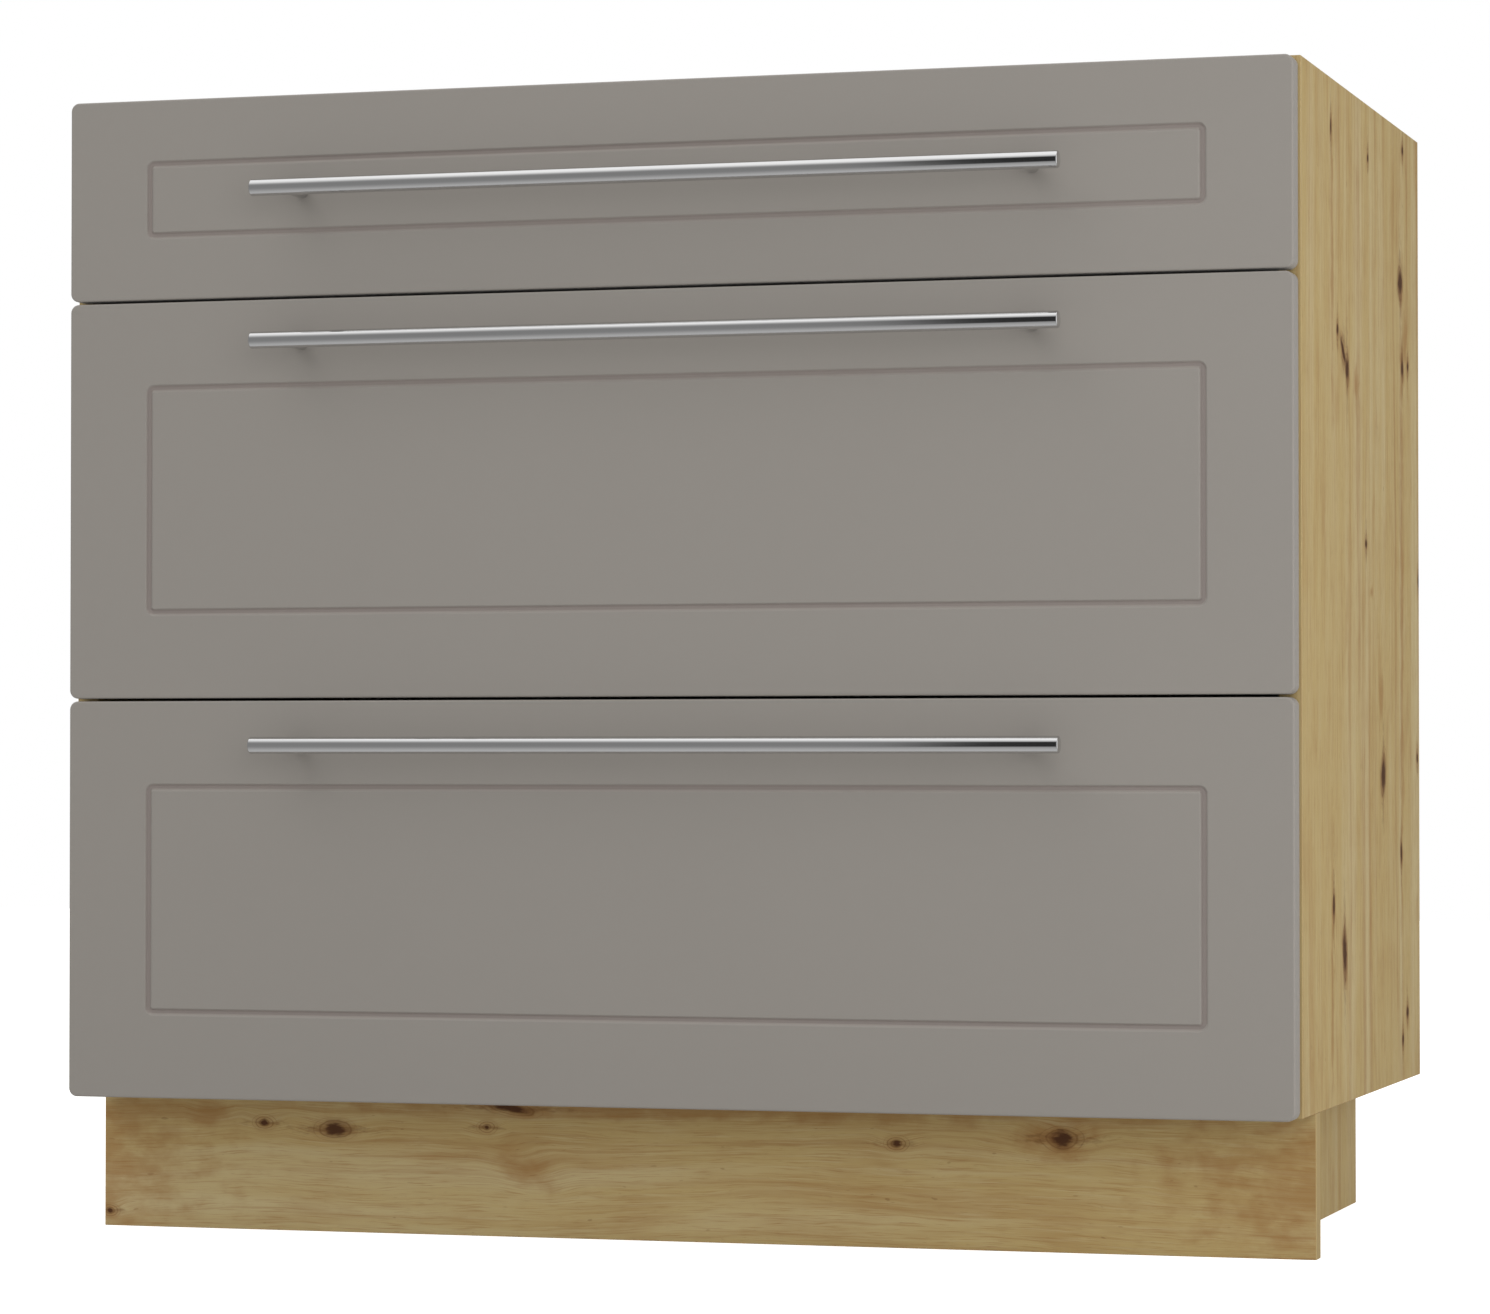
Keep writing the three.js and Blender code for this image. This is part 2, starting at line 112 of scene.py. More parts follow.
def number(name, value, description, **details):
    """Any other number that the sidebar shows."""
    return bpy.props.FloatProperty(name=name, description=description, default=value, min=0, **details)


class StudioSettings(bpy.types.PropertyGroup):
    """The camera, the floor and the lamps."""

    lens: number("Lens", 120.27, "Focal length over a sensor 36 mm wide", unit="CAMERA")
    camera_place: bpy.props.FloatVectorProperty(
        name="Camera", description="Where the camera stands", default=(1.0578, -3.5513, 0.3422),
        subtype="TRANSLATION", unit="LENGTH")
    camera_heading: number(
        "Heading", math.radians(16.729), "Turn of the camera to the left", subtype="ANGLE", unit="ROTATION")
    camera_pitch: number(
        "Pitch", math.radians(1.184), "Tilt of the camera upwards", subtype="ANGLE", unit="ROTATION")
    floor_size: length("Floor", 14, "Width of the square floor")
    floor_colour: colour("Floor colour", "f7f7f5", "Plain pale floor")
    floor_lift: number("Floor lift", 0.75, "Light that makes the floor white where the camera looks at it")
    room_light: number("Room light", 0.66, "Strength of the even light from all around")
    key_power: number("Key", 27, "Power of the softbox at the upper left", unit="POWER")
    fill_power: number("Fill", 18, "Power of the softbox at the front right", unit="POWER")
    side_power: number("Side light", 16.5, "Power of the softbox at the right side", unit="POWER")


class FrontSettings(bpy.types.PropertyGroup):
    """The milled and lacquered drawer fronts."""

    lacquer: colour("Lacquer", "8b8680", "Matt warm grey of the fronts")
    # Painted shade: the darker, redder colour laid into the milled line, more of it the deeper the line is.
    line_painted_shade: colour("Lacquer in the line", "877e79", "The same where it has gathered in the line")
    corner_radius: length("Corners", 6 * MM, "Radius of a front's corners")
    edge_radius: length("Edges", 1.5 * MM, "Radius that is milled along a front's edges")
    back_ease: length("Back edge", 0.5 * MM, "Width of the small chamfer around the rear face")
    line_width: length("Line width", 6 * MM, "Width of the milled line")
    line_depth: length("Line depth", 2 * MM, "Depth of the milled line")
    line_wall: length("Line wall", 2.2 * MM, "Width over which the line's wall rises")
    line_radius: length("Line corners", 3.5 * MM, "Corner radius at the middle of the milled line")
    line_inset: length("Line inset", 62 * MM, "From a front's edge to the middle of the line")
    low_line_inset: length("Low front inset", 46.5 * MM, "The same above and below on the low front")
    screw_hole: length("Screw hole", 4.6 * MM, "Diameter of the holes for the handle screws")


class HandleSettings(bpy.types.PropertyGroup):
    """The chromed bar handles."""

    chrome: colour("Chrome", "d6d6d6", "Colour of the chrome plate")
    bar_chamfer: length("Bar chamfer", 1 * MM, "Width of the chamfer at a bar's ends")
    post_chamfer: length("Post chamfer", 0.3 * MM, "Width of the chamfer where a post stands on the front")


class BoardSettings(bpy.types.PropertyGroup):
    """The boards of the carcass, the plinth and the drawer boxes."""

    ease: length("Board edges", 0.5 * MM, "How far the edges of the boards are eased")
    oak_light: colour("Oak, light", "b9a980", "Lightest bands of the oak decor")
    oak_tan: colour("Oak, tan", "b09a68", "Ground of the oak decor")
    oak_brown: colour("Oak, brown", "926a3a", "Darkest bands of the oak decor")
    oak_knot: colour("Knots", "4a2b14", "Heart of a knot")
    oak_knot_rim: colour("Knot rims", "684220", "Brown rim of a knot, and the pores")
    banding: colour("Oak edging", "ad9767", "Smooth edging on the visible edges")
    core: colour("Chipboard", "a98d63", "Raw edges of the boards")
    white: colour("White board", "e4e2dc", "Faces of the drawer boxes")
    hardboard: colour("Hardboard", "7d6244", "Raw rear face of the thin boards")


class HardwareSettings(bpy.types.PropertyGroup):
    """Slides, screws and other small hardware."""

    steel: colour("Zinc", "bfc3c6", "Bright zinc on the slides and screws")
    member_ease: length("Slide edges", 0.3 * MM, "How far the edges of the slide members are eased")
    ball: length("Ball", 3.9 * MM, "Diameter of the balls in the slides")
    ball_pitch: length("Ball pitch", 6 * MM, "Distance between the balls")
    slide_head: length("Slide screw", 7.5 * MM, "Head diameter of the screws in the slides")
    front_head: length("Front screw", 8.5 * MM, "Head diameter of the screws that hold the fronts")
    sheet: length("Slide sheet", 1.25 * MM, "Thickness of the rolled steel of the slides")
    hole_inset: length("Slide holes", 35 * MM, "From a member's end to its first screw")
    cage_width: length("Cage", 4.4 * MM, "Width of the strips that hold the balls")
    cage_sheet: length("Cage sheet", 0.6 * MM, "Thickness of the strips that hold the balls")
    cam: length("Cam", 15 * MM, "Diameter of the cam fittings")
    cam_inset: length("Cam inset", 24 * MM, "From a board's end to the middle of its cams")
    bumper: length("Bumper", 8 * MM, "Diameter of the bumpers behind the fronts")


# --- Meshes ---

def show(name, mesh, body, slot, *stands_for):
    """Puts a finished mesh on the body that carries it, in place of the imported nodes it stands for."""
    piece = bpy.data.objects.new(name, mesh)
    bpy.context.scene.collection.objects.link(piece)
    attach(piece, body)
    if stands_for:
        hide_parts(*stands_for)
    return piece


def shade(mesh):
    """Gives each corner the area-weighted mean of the faces that turn gently into each other there.

    Large flat faces then stay flat to the eye, and the narrow eased edges between them look round.
    """
    smooth = math.cos(SMOOTH_LIMIT)
    around = [[] for _ in mesh.vertices]
    for face in mesh.polygons:
        for vertex in face.vertices:
            around[vertex].append((face.normal.copy(), face.area))
    normals = []
    for face in mesh.polygons:
        for vertex in face.vertices:
            total = Vector()
            for normal, area in around[vertex]:
                if normal.dot(face.normal) > smooth:
                    total += normal * area
            normals.append(total.normalized())
    mesh.normals_split_custom_set(normals)


def finished_mesh(name, bm, materials):
    """Turns an edited mesh into a shaded one with its faces outwards."""
    bmesh.ops.recalc_face_normals(bm, faces=bm.faces)
    for face in bm.faces:
        face.smooth = True
    mesh = bpy.data.meshes.new(name)
    bm.to_mesh(mesh)
    bm.free()
    for material in materials:
        mesh.materials.append(material)
    shade(mesh)
    return mesh


def eased_copy(node, ease):
    """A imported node's shape with its doubles merged, its flat faces joined and its hard edges eased."""
    bm = bmesh.new()
    bm.from_mesh(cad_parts[node].data)
    bmesh.ops.remove_doubles(bm, verts=bm.verts, dist=MERGE_GAP)
    bmesh.ops.dissolve_limit(bm, angle_limit=math.radians(1), verts=bm.verts, edges=bm.edges)
    hard = [edge for edge in bm.edges if edge.is_manifold and edge.calc_face_angle() > SMOOTH_LIMIT]
    bmesh.ops.bevel(bm, geom=hard, offset=ease, segments=2, profile=0.5, affect="EDGES", clamp_overlap=True)
    return bm


def turned(bm, profile, start, turn, steps, end_shift=None):
    """Adds a lathe-turned shape: profile lists (distance along the axis, radius) from pole to pole.

    The axis runs along Z, is turned by the matrix and starts at the given point. end_shift moves the points
    of the last ring and pole, given in the scene's frame.
    """
    rings = []
    for along, radius in profile:
        angles = [2 * math.pi * i / steps for i in range(steps)] if radius else [0]
        points = [start + turn @ Vector((radius * math.cos(a), radius * math.sin(a), along)) for a in angles]
        rings.append(points)
    if end_shift:
        rings[-2:] = [[end_shift(point) for point in ring] for ring in rings[-2:]]
    rings = [[bm.verts.new(point) for point in ring] for ring in rings]
    for lower, upper in zip(rings, rings[1:]):
        for i in range(steps):
            corners = [lower[i % len(lower)], lower[(i + 1) % len(lower)],
                       upper[(i + 1) % len(upper)], upper[i % len(upper)]]
            bm.faces.new(list(dict.fromkeys(corners)))


# --- Nodes ---

# The kinds of node that are used most.
MATH = "ShaderNodeMath"
COMBINE = "ShaderNodeCombineXYZ"
MAP_RANGE = "ShaderNodeMapRange"
NOISE = "ShaderNodeTexNoise"
TRANSFORM = "GeometryNodeTransform"


def add(tree, kind, inputs=None, operation=None, stops=(), **settings):
    """Adds a node to a tree with its settings, and feeds its inputs from values, sockets or other nodes.

    inputs is a dictionary by name, or a list in the order of the node's inputs. A node stands for its first
    output that is in use. A list inside inputs feeds every entry to the same input. stops are the places
    and colours of a colour ramp.
    """
    node = tree.nodes.new(kind)
    for name, value in settings.items():
        setattr(node, name, value)
    if operation:
        node.operation = operation
    for key, value in (dict(enumerate(inputs)) if isinstance(inputs, list) else inputs or {}).items():
        socket = node.inputs[key] if isinstance(key, int) else next(
            s for s in node.inputs if s.name == key and s.enabled)
        for source in value if isinstance(value, list) else [value]:
            if isinstance(source, bpy.types.Node):
                source = next(output for output in source.outputs if output.enabled)
            if isinstance(source, bpy.types.NodeSocket):
                tree.links.new(source, socket)
            else:
                socket.default_value = source
    if stops:
        elements = node.color_ramp.elements
        while len(elements) < len(stops):
            elements.new(1)
        for element, (place, shade_of) in zip(elements, stops):
            element.position = place
            element.color = shade_of
    return node


def emptied(owner):
    """Clears the nodes of a material or a world, and returns add for its tree."""
    owner.use_nodes = True
    owner.node_tree.nodes.clear()
    return partial(add, owner.node_tree)


def node_group(name, kind, inputs, outputs):
    """A new node group, with the kinds of its inputs and outputs by name.

    Returns it, add for its tree, and the inputs.
    """
    tree = bpy.data.node_groups.new(name, kind)
    for in_out, sockets in (("INPUT", inputs), ("OUTPUT", outputs)):
        for label, socket in sockets.items():
            tree.interface.new_socket(label, in_out=in_out, socket_type=f"NodeSocket{socket}")
    return tree, partial(add, tree), add(tree, "NodeGroupInput").outputs


def geometry_group(name, sizes, others):
    """A node group that makes geometry from these sizes, a material and other inputs."""
    inputs = others | dict.fromkeys(sizes, "Float") | {"Material": "Material"}
    return node_group(name, "GeometryNodeTree", inputs, {"Geometry": "Geometry"})


def titled(**values):
    """Values under the names of a node group's inputs: head_height becomes Head Height."""
    return {key.replace("_", " ").title(): value for key, value in values.items()}


def grown(name, carrier, tree, values):
    """The plain mesh that a Geometry Nodes tree makes from a carrier mesh with these input values."""
    holder = bpy.data.objects.new(name, carrier)
    bpy.context.scene.collection.objects.link(holder)
    modifier = holder.modifiers.new(tree.name, "NODES")
    modifier.node_group = tree
    for item in tree.interface.items_tree:
        if item.in_out == "INPUT" and item.name in values:
            modifier[item.identifier] = values[item.name]
    graph = bpy.context.evaluated_depsgraph_get()
    evaluated = holder.evaluated_get(graph)
    result = bpy.data.meshes.new_from_object(evaluated, preserve_all_data_layers=True, depsgraph=graph)
    result.name = name
    holder.modifiers.remove(modifier)
    bpy.data.objects.remove(holder)
    return result


def points_mesh(name, heads):
    """A mesh of loose points, given by their places and the directions that they face."""
    mesh = bpy.data.meshes.new(name)
    mesh.from_pydata([place for place, _ in heads], [], [])
    facing = mesh.attributes.new("facing", "FLOAT_VECTOR", "POINT")
    for entry, (_, direction) in zip(facing.data, heads):
        entry.vector = direction
    return mesh


def lines_mesh(name, lines):
    """A mesh of loose straight edges, each given by its two ends."""
    mesh = bpy.data.meshes.new(name)
    points = [end for line in lines for end in line]
    mesh.from_pydata(points, [(2 * i, 2 * i + 1) for i in range(len(lines))], [])
    return mesh


# --- Geometry Nodes trees ---

def coated(node, geometry, material):
    """Ends a tree: its instances are made real and take their material."""
    real = node("GeometryNodeRealizeInstances", [geometry])
    node("NodeGroupOutput", [node("GeometryNodeSetMaterial", {"Geometry": real, "Material": material})])


def milled_front_tree():
    """A board with round corners and edges, a milled line parallel to its edges and two screw holes.

    It is made lying down with its face at height 0: profiles are swept along rounded rectangles, what stays
    open is filled, and the board is stood up with its face towards -Y. In a profile X is outwards, Y down.
    """
    sizes = ("Width", "Height", "Thickness", "Corner Radius", "Edge Radius", "Back Ease", "Line Width",
             "Line Depth", "Line Wall", "Line Radius", "Line Inset X", "Line Inset Y", "Hole Diameter",
             "Hole Spacing", "Hole Height")
    tree, node, given = geometry_group("Milled front", sizes, {"Place": "Vector"})

    def rounded_path(inset_x, inset_y, radius):
        """A rounded rectangle, inset from the outline of the board."""
        rectangle = node("GeometryNodeCurvePrimitiveQuadrilateral", {
            "Width": node(MATH, [inset_x, -2.0, given["Width"]], "MULTIPLY_ADD"),
            "Height": node(MATH, [inset_y, -2.0, given["Height"]], "MULTIPLY_ADD")})
        return node("GeometryNodeFilletCurve", {"Curve": rectangle, "Count": CORNER_STEPS, "Radius": radius},
                    mode="POLY")

    edge, thickness = given["Edge Radius"], given["Thickness"]
    side_end = node(MATH, [thickness, given["Back Ease"]], "SUBTRACT")
    edge_start = node(COMBINE, [edge, edge])
    edge_end = node(COMBINE, [edge, side_end])
    back_inset = node(MATH, [edge, given["Back Ease"]], "SUBTRACT")
    back_end = node(COMBINE, [back_inset, thickness])
    roundover = node(TRANSFORM, {
        "Geometry": node("GeometryNodeCurveArc", {
            "Resolution": CORNER_STEPS, "Radius": edge, "Start Angle": -QUARTER, "Sweep Angle": QUARTER}),
        "Translation": node(COMBINE, [0.0, edge])})
    side = node("GeometryNodeCurvePrimitiveLine", {"Start": edge_start, "End": edge_end})
    back = node("GeometryNodeCurvePrimitiveLine", {"Start": edge_end, "End": back_end})
    face_radius = node(MATH, [given["Corner Radius"], edge], "SUBTRACT")
    border = node("GeometryNodeCurveToMesh", {
        "Curve": rounded_path(edge, edge, face_radius),
        "Profile Curve": node("GeometryNodeJoinGeometry", {"Geometry": [roundover, side, back]})})

    half_line = node(MATH, [given["Line Width"], 0.5], "MULTIPLY")
    other_half = node(MATH, [given["Line Width"], -0.5], "MULTIPLY")
    across = node("GeometryNodeResampleCurve", {
        "Curve": node("GeometryNodeCurvePrimitiveLine", {
            "Start": node(COMBINE, [other_half]), "End": node(COMBINE, [half_line])}),
        "Count": 2 * CORNER_STEPS + 1})
    place = node("ShaderNodeSeparateXYZ", [node("GeometryNodeInputPosition")]).outputs
    sunk = node(MAP_RANGE, {
        "Value": node(MATH, [place["X"]], "ABSOLUTE"),
        "From Min": node(MATH, [half_line, given["Line Wall"]], "SUBTRACT"),
        "From Max": half_line, "To Min": given["Line Depth"], "To Max": 0.0},
        interpolation_type="SMOOTHSTEP")
    marked = node("GeometryNodeStoreNamedAttribute", {
        "Geometry": across, "Name": "line_depth",
        "Value": node(MATH, [sunk, given["Line Depth"]], "DIVIDE")}, data_type="FLOAT")
    line = node("GeometryNodeCurveToMesh", {
        "Curve": rounded_path(given["Line Inset X"], given["Line Inset Y"], given["Line Radius"]),
        "Profile Curve": node("GeometryNodeSetPosition", {
            "Geometry": marked, "Offset": node(COMBINE, [0.0, sunk])})})

    rear_level = node(MATH, [thickness, -1.0], "MULTIPLY")
    hole_wall = node("GeometryNodeCurveToMesh", {
        "Curve": node("GeometryNodeCurvePrimitiveLine", {"End": node(COMBINE, {"Z": rear_level})}),
        "Profile Curve": node("GeometryNodeCurvePrimitiveCircle", {
            "Resolution": 2 * CORNER_STEPS,
            "Radius": node(MATH, [given["Hole Diameter"], 0.5], "MULTIPLY")})})
    walls = [border, line]
    for share in (-0.5, 0.5):
        sideways = node(MATH, [given["Hole Spacing"], share], "MULTIPLY")
        walls.append(node(TRANSFORM, {
            "Geometry": hole_wall, "Translation": node(COMBINE, [sideways, given["Hole Height"]])}))
    walls = node("GeometryNodeMergeByDistance", {
        "Geometry": node("GeometryNodeJoinGeometry", {"Geometry": walls}), "Distance": MERGE_GAP})

    rim = node("FunctionNodeCompare", {
        "A": node("GeometryNodeInputMeshEdgeNeighbors"), "B": 1}, data_type="INT", operation="EQUAL")
    halfway = node(MATH, [thickness, -0.5], "MULTIPLY")
    parts = [walls]
    for nearer, level in (("GREATER_THAN", 0.0), ("LESS_THAN", rear_level)):
        on_this_face = node("FunctionNodeCompare", {"A": place["Z"], "B": halfway}, operation=nearer)
        rims = node("GeometryNodeMeshToCurve", {
            "Mesh": walls, "Selection": node("FunctionNodeBooleanMath", [rim, on_this_face])})
        parts.append(node(TRANSFORM, {
            "Geometry": node("GeometryNodeFillCurve", [rims]), "Translation": node(COMBINE, {"Z": level})}))
    board = node("GeometryNodeMergeByDistance", {
        "Geometry": node("GeometryNodeJoinGeometry", {"Geometry": parts}), "Distance": MERGE_GAP})
    upright = node(TRANSFORM, {
        "Geometry": board, "Rotation": (QUARTER, 0, 0), "Translation": given["Place"]})
    coated(node, upright, given["Material"])
    return tree


def fastener_tree():
    """Screws, cams and pads: a low round head on every point, turned to face the point's own way.

    One head is made standing on height 0 with its shank below, a cross is cut into it where it has one, and
    it is put on all points.
    """
    sizes = ("Head Diameter", "Head Height", "Crown", "Recess Size", "Recess Depth", "Shank Diameter",
             "Shank Length")
    others = {"Geometry": "Geometry", "Cross Recess": "Bool"}
    tree, node, given = geometry_group("Round heads", sizes, others)
    height = given["Head Height"]
    blank = node("GeometryNodeMeshCylinder", {
        "Vertices": HEAD_STEPS, "Side Segments": 5, "Depth": height,
        "Radius": node(MATH, [given["Head Diameter"], 0.5], "MULTIPLY")})
    half_height = node(MATH, [height, 0.5], "MULTIPLY")
    standing = node(TRANSFORM, {"Geometry": blank, "Translation": node(COMBINE, {"Z": half_height})})
    place = node("GeometryNodeInputPosition")
    level = node("ShaderNodeSeparateXYZ", [place]).outputs["Z"]
    share = node(MATH, [level, height], "DIVIDE")
    steep = node(MATH, [share, 4.0], "POWER")
    narrowing = node(MATH, [steep, given["Crown"]], "MULTIPLY")
    width = node(MATH, [1.0, narrowing], "SUBTRACT")
    domed = node("GeometryNodeSetPosition", {
        "Geometry": standing,
        "Position": node("ShaderNodeVectorMath", [
            place, node(COMBINE, {"X": width, "Y": width, "Z": 1.0})], "MULTIPLY")})

    sunk = node(MATH, [given["Recess Depth"], 2.0], "MULTIPLY")
    slot_width = node(MATH, [given["Recess Size"], SLOT_SHARE], "MULTIPLY")
    arms = [node(TRANSFORM, {
        "Geometry": node("GeometryNodeMeshCube", {
            "Size": node(COMBINE, [given["Recess Size"], slot_width, sunk])}),
        "Translation": node(COMBINE, {"Z": height}), "Rotation": (0, 0, turn)})
        for turn in (0, QUARTER)]
    cut = node("GeometryNodeMeshBoolean", {"Mesh 1": domed, "Mesh 2": arms}, "DIFFERENCE", solver="EXACT")
    head = node("GeometryNodeSwitch", {"Switch": given["Cross Recess"], "False": domed, "True": cut},
               input_type="GEOMETRY")

    half_shank = node(MATH, [given["Shank Length"], -0.5], "MULTIPLY")
    shank = node(TRANSFORM, {
        "Geometry": node("GeometryNodeMeshCylinder", {
            "Vertices": SHANK_STEPS, "Depth": given["Shank Length"],
            "Radius": node(MATH, [given["Shank Diameter"], 0.5], "MULTIPLY")}),
        "Translation": node(COMBINE, {"Z": half_shank})})
    facing = node("GeometryNodeInputNamedAttribute", {"Name": "facing"}, data_type="FLOAT_VECTOR")
    placed = node("GeometryNodeInstanceOnPoints", {
        "Points": given["Geometry"],
        "Instance": node("GeometryNodeJoinGeometry", {"Geometry": [head, shank]}),
        "Rotation": node("FunctionNodeAlignRotationToVector", {"Vector": facing}, axis="Z")})
    coated(node, placed, given["Material"])
    return tree


def ball_row_tree():
    """A row of bearing balls along every edge."""
    tree, node, given = geometry_group("Bearing balls", ("Diameter", "Pitch"), {"Geometry": "Geometry"})
    rows = node("GeometryNodeResampleCurve", {
        "Curve": node("GeometryNodeMeshToCurve", [given["Geometry"]]), "Length": given["Pitch"]},
        mode="LENGTH")
    ball = node("GeometryNodeMeshIcoSphere", {
        "Radius": node(MATH, [given["Diameter"], 0.5], "MULTIPLY"), "Subdivisions": 2})
    placed = node("GeometryNodeInstanceOnPoints", {"Points": rows, "Instance": ball})
    coated(node, placed, given["Material"])
    return tree


def ball_cage_tree():
    """A thin flat strip along every edge, which keeps the balls apart."""
    tree, node, given = geometry_group("Ball cages", ("Width", "Thickness"), {"Geometry": "Geometry"})
    section = node("GeometryNodeFilletCurve", {
        "Curve": node("GeometryNodeCurvePrimitiveQuadrilateral", {
            "Width": given["Width"], "Height": given["Thickness"]}),
        "Count": 2, "Radius": node(MATH, [given["Thickness"], 0.3], "MULTIPLY")},
        mode="POLY")
    strips = node("GeometryNodeCurveToMesh", {
        "Curve": node("GeometryNodeMeshToCurve", [given["Geometry"]]), "Profile Curve": section,
        "Fill Caps": True})
    coated(node, strips, given["Material"])
    return tree


# --- Materials ---

def surface(name, **constants):
    """A new material. Returns it, add for its tree, and a point on the object in millimetres.

    constants are the shader's own values that stay the same all over, with _ for a space in their names.
    """
    material = bpy.data.materials.new(name)
    node = emptied(material)
    shader = node("ShaderNodeBsdfPrincipled", {
        key.replace("_", " "): value for key, value in constants.items()})
    node("ShaderNodeOutputMaterial", {"Surface": shader})
    place = node("ShaderNodeMapping", {
        "Vector": node("ShaderNodeTexCoord").outputs["Object"], "Scale": (1 / MM, 1 / MM, 1 / MM)})
    return material, node, place


def varied(material, colour=None, gloss=None, relief=None):
    """Gives a material what changes over its surface, and returns it.

    gloss is a value with the roughness where it is 0.3 and where it is 0.7. relief is a height from 0 to 1
    with its depth in metres.
    """
    tree = material.node_tree
    shader = next(made for made in tree.nodes if made.type == "BSDF_PRINCIPLED")
    if colour:
        tree.links.new(colour, shader.inputs["Base Color"])
    if gloss:
        value, low, high = gloss
        rough = add(tree, MAP_RANGE, {
            "Value": value, "From Min": 0.3, "From Max": 0.7, "To Min": low, "To Max": high})
        tree.links.new(rough.outputs["Result"], shader.inputs["Roughness"])
    if relief:
        height, depth = relief
        bump = add(tree, "ShaderNodeBump", {"Strength": 1.0, "Distance": depth, "Height": height})
        tree.links.new(bump.outputs["Normal"], shader.inputs["Normal"])
    return material


Mark = namedtuple("Mark", "across along half_width half_length turn", defaults=(0,))


def marked(*rows):
    """Marks from rows of their numbers."""
    return tuple(Mark(*row) for row in rows)


def nearest_mark(node, place, marks):
    """How far the nearest mark is, in its own half sizes: 1 is its outline."""
    nearest = None
    for mark in marks:
        local = node("ShaderNodeMapping", {
            "Vector": place, "Location": (mark.across, mark.along, 0),
            "Rotation": (0, 0, math.radians(mark.turn)), "Scale": (mark.half_width, mark.half_length, 1)},
            vector_type="TEXTURE")
        distance = node("ShaderNodeVectorMath", [local], "LENGTH").outputs["Value"]
        nearest = node(MATH, [nearest, distance], "MINIMUM") if nearest else distance
    return nearest


def grained(node, place, across, along, detail, start=0.0):
    """Noise around 0 whose grains are this wide and long in mm. start picks another part of it."""
    scaled = node("ShaderNodeMapping", {
        "Vector": place, "Location": (start, start, start), "Scale": (1 / across, 1 / along, 1)})
    noise = node(NOISE, {"Vector": scaled, "Scale": 1.0, "Detail": detail})
    return node(MATH, [noise, 0.5], "SUBTRACT")


def layered(node, base, layers):
    """Lays colours over each other: (value, where it starts, where it is full, strength, colour) each."""
    for value, begins, full, strength, over in layers:
        share = node(MAP_RANGE, {
            "Value": value, "From Min": begins, "From Max": full, "To Min": 0.0, "To Max": strength},
            interpolation_type="SMOOTHSTEP")
        base = node("ShaderNodeMix", {"Factor": share, "A": base, "B": (*over, 1)}, data_type="RGBA")
    return base.outputs[2]


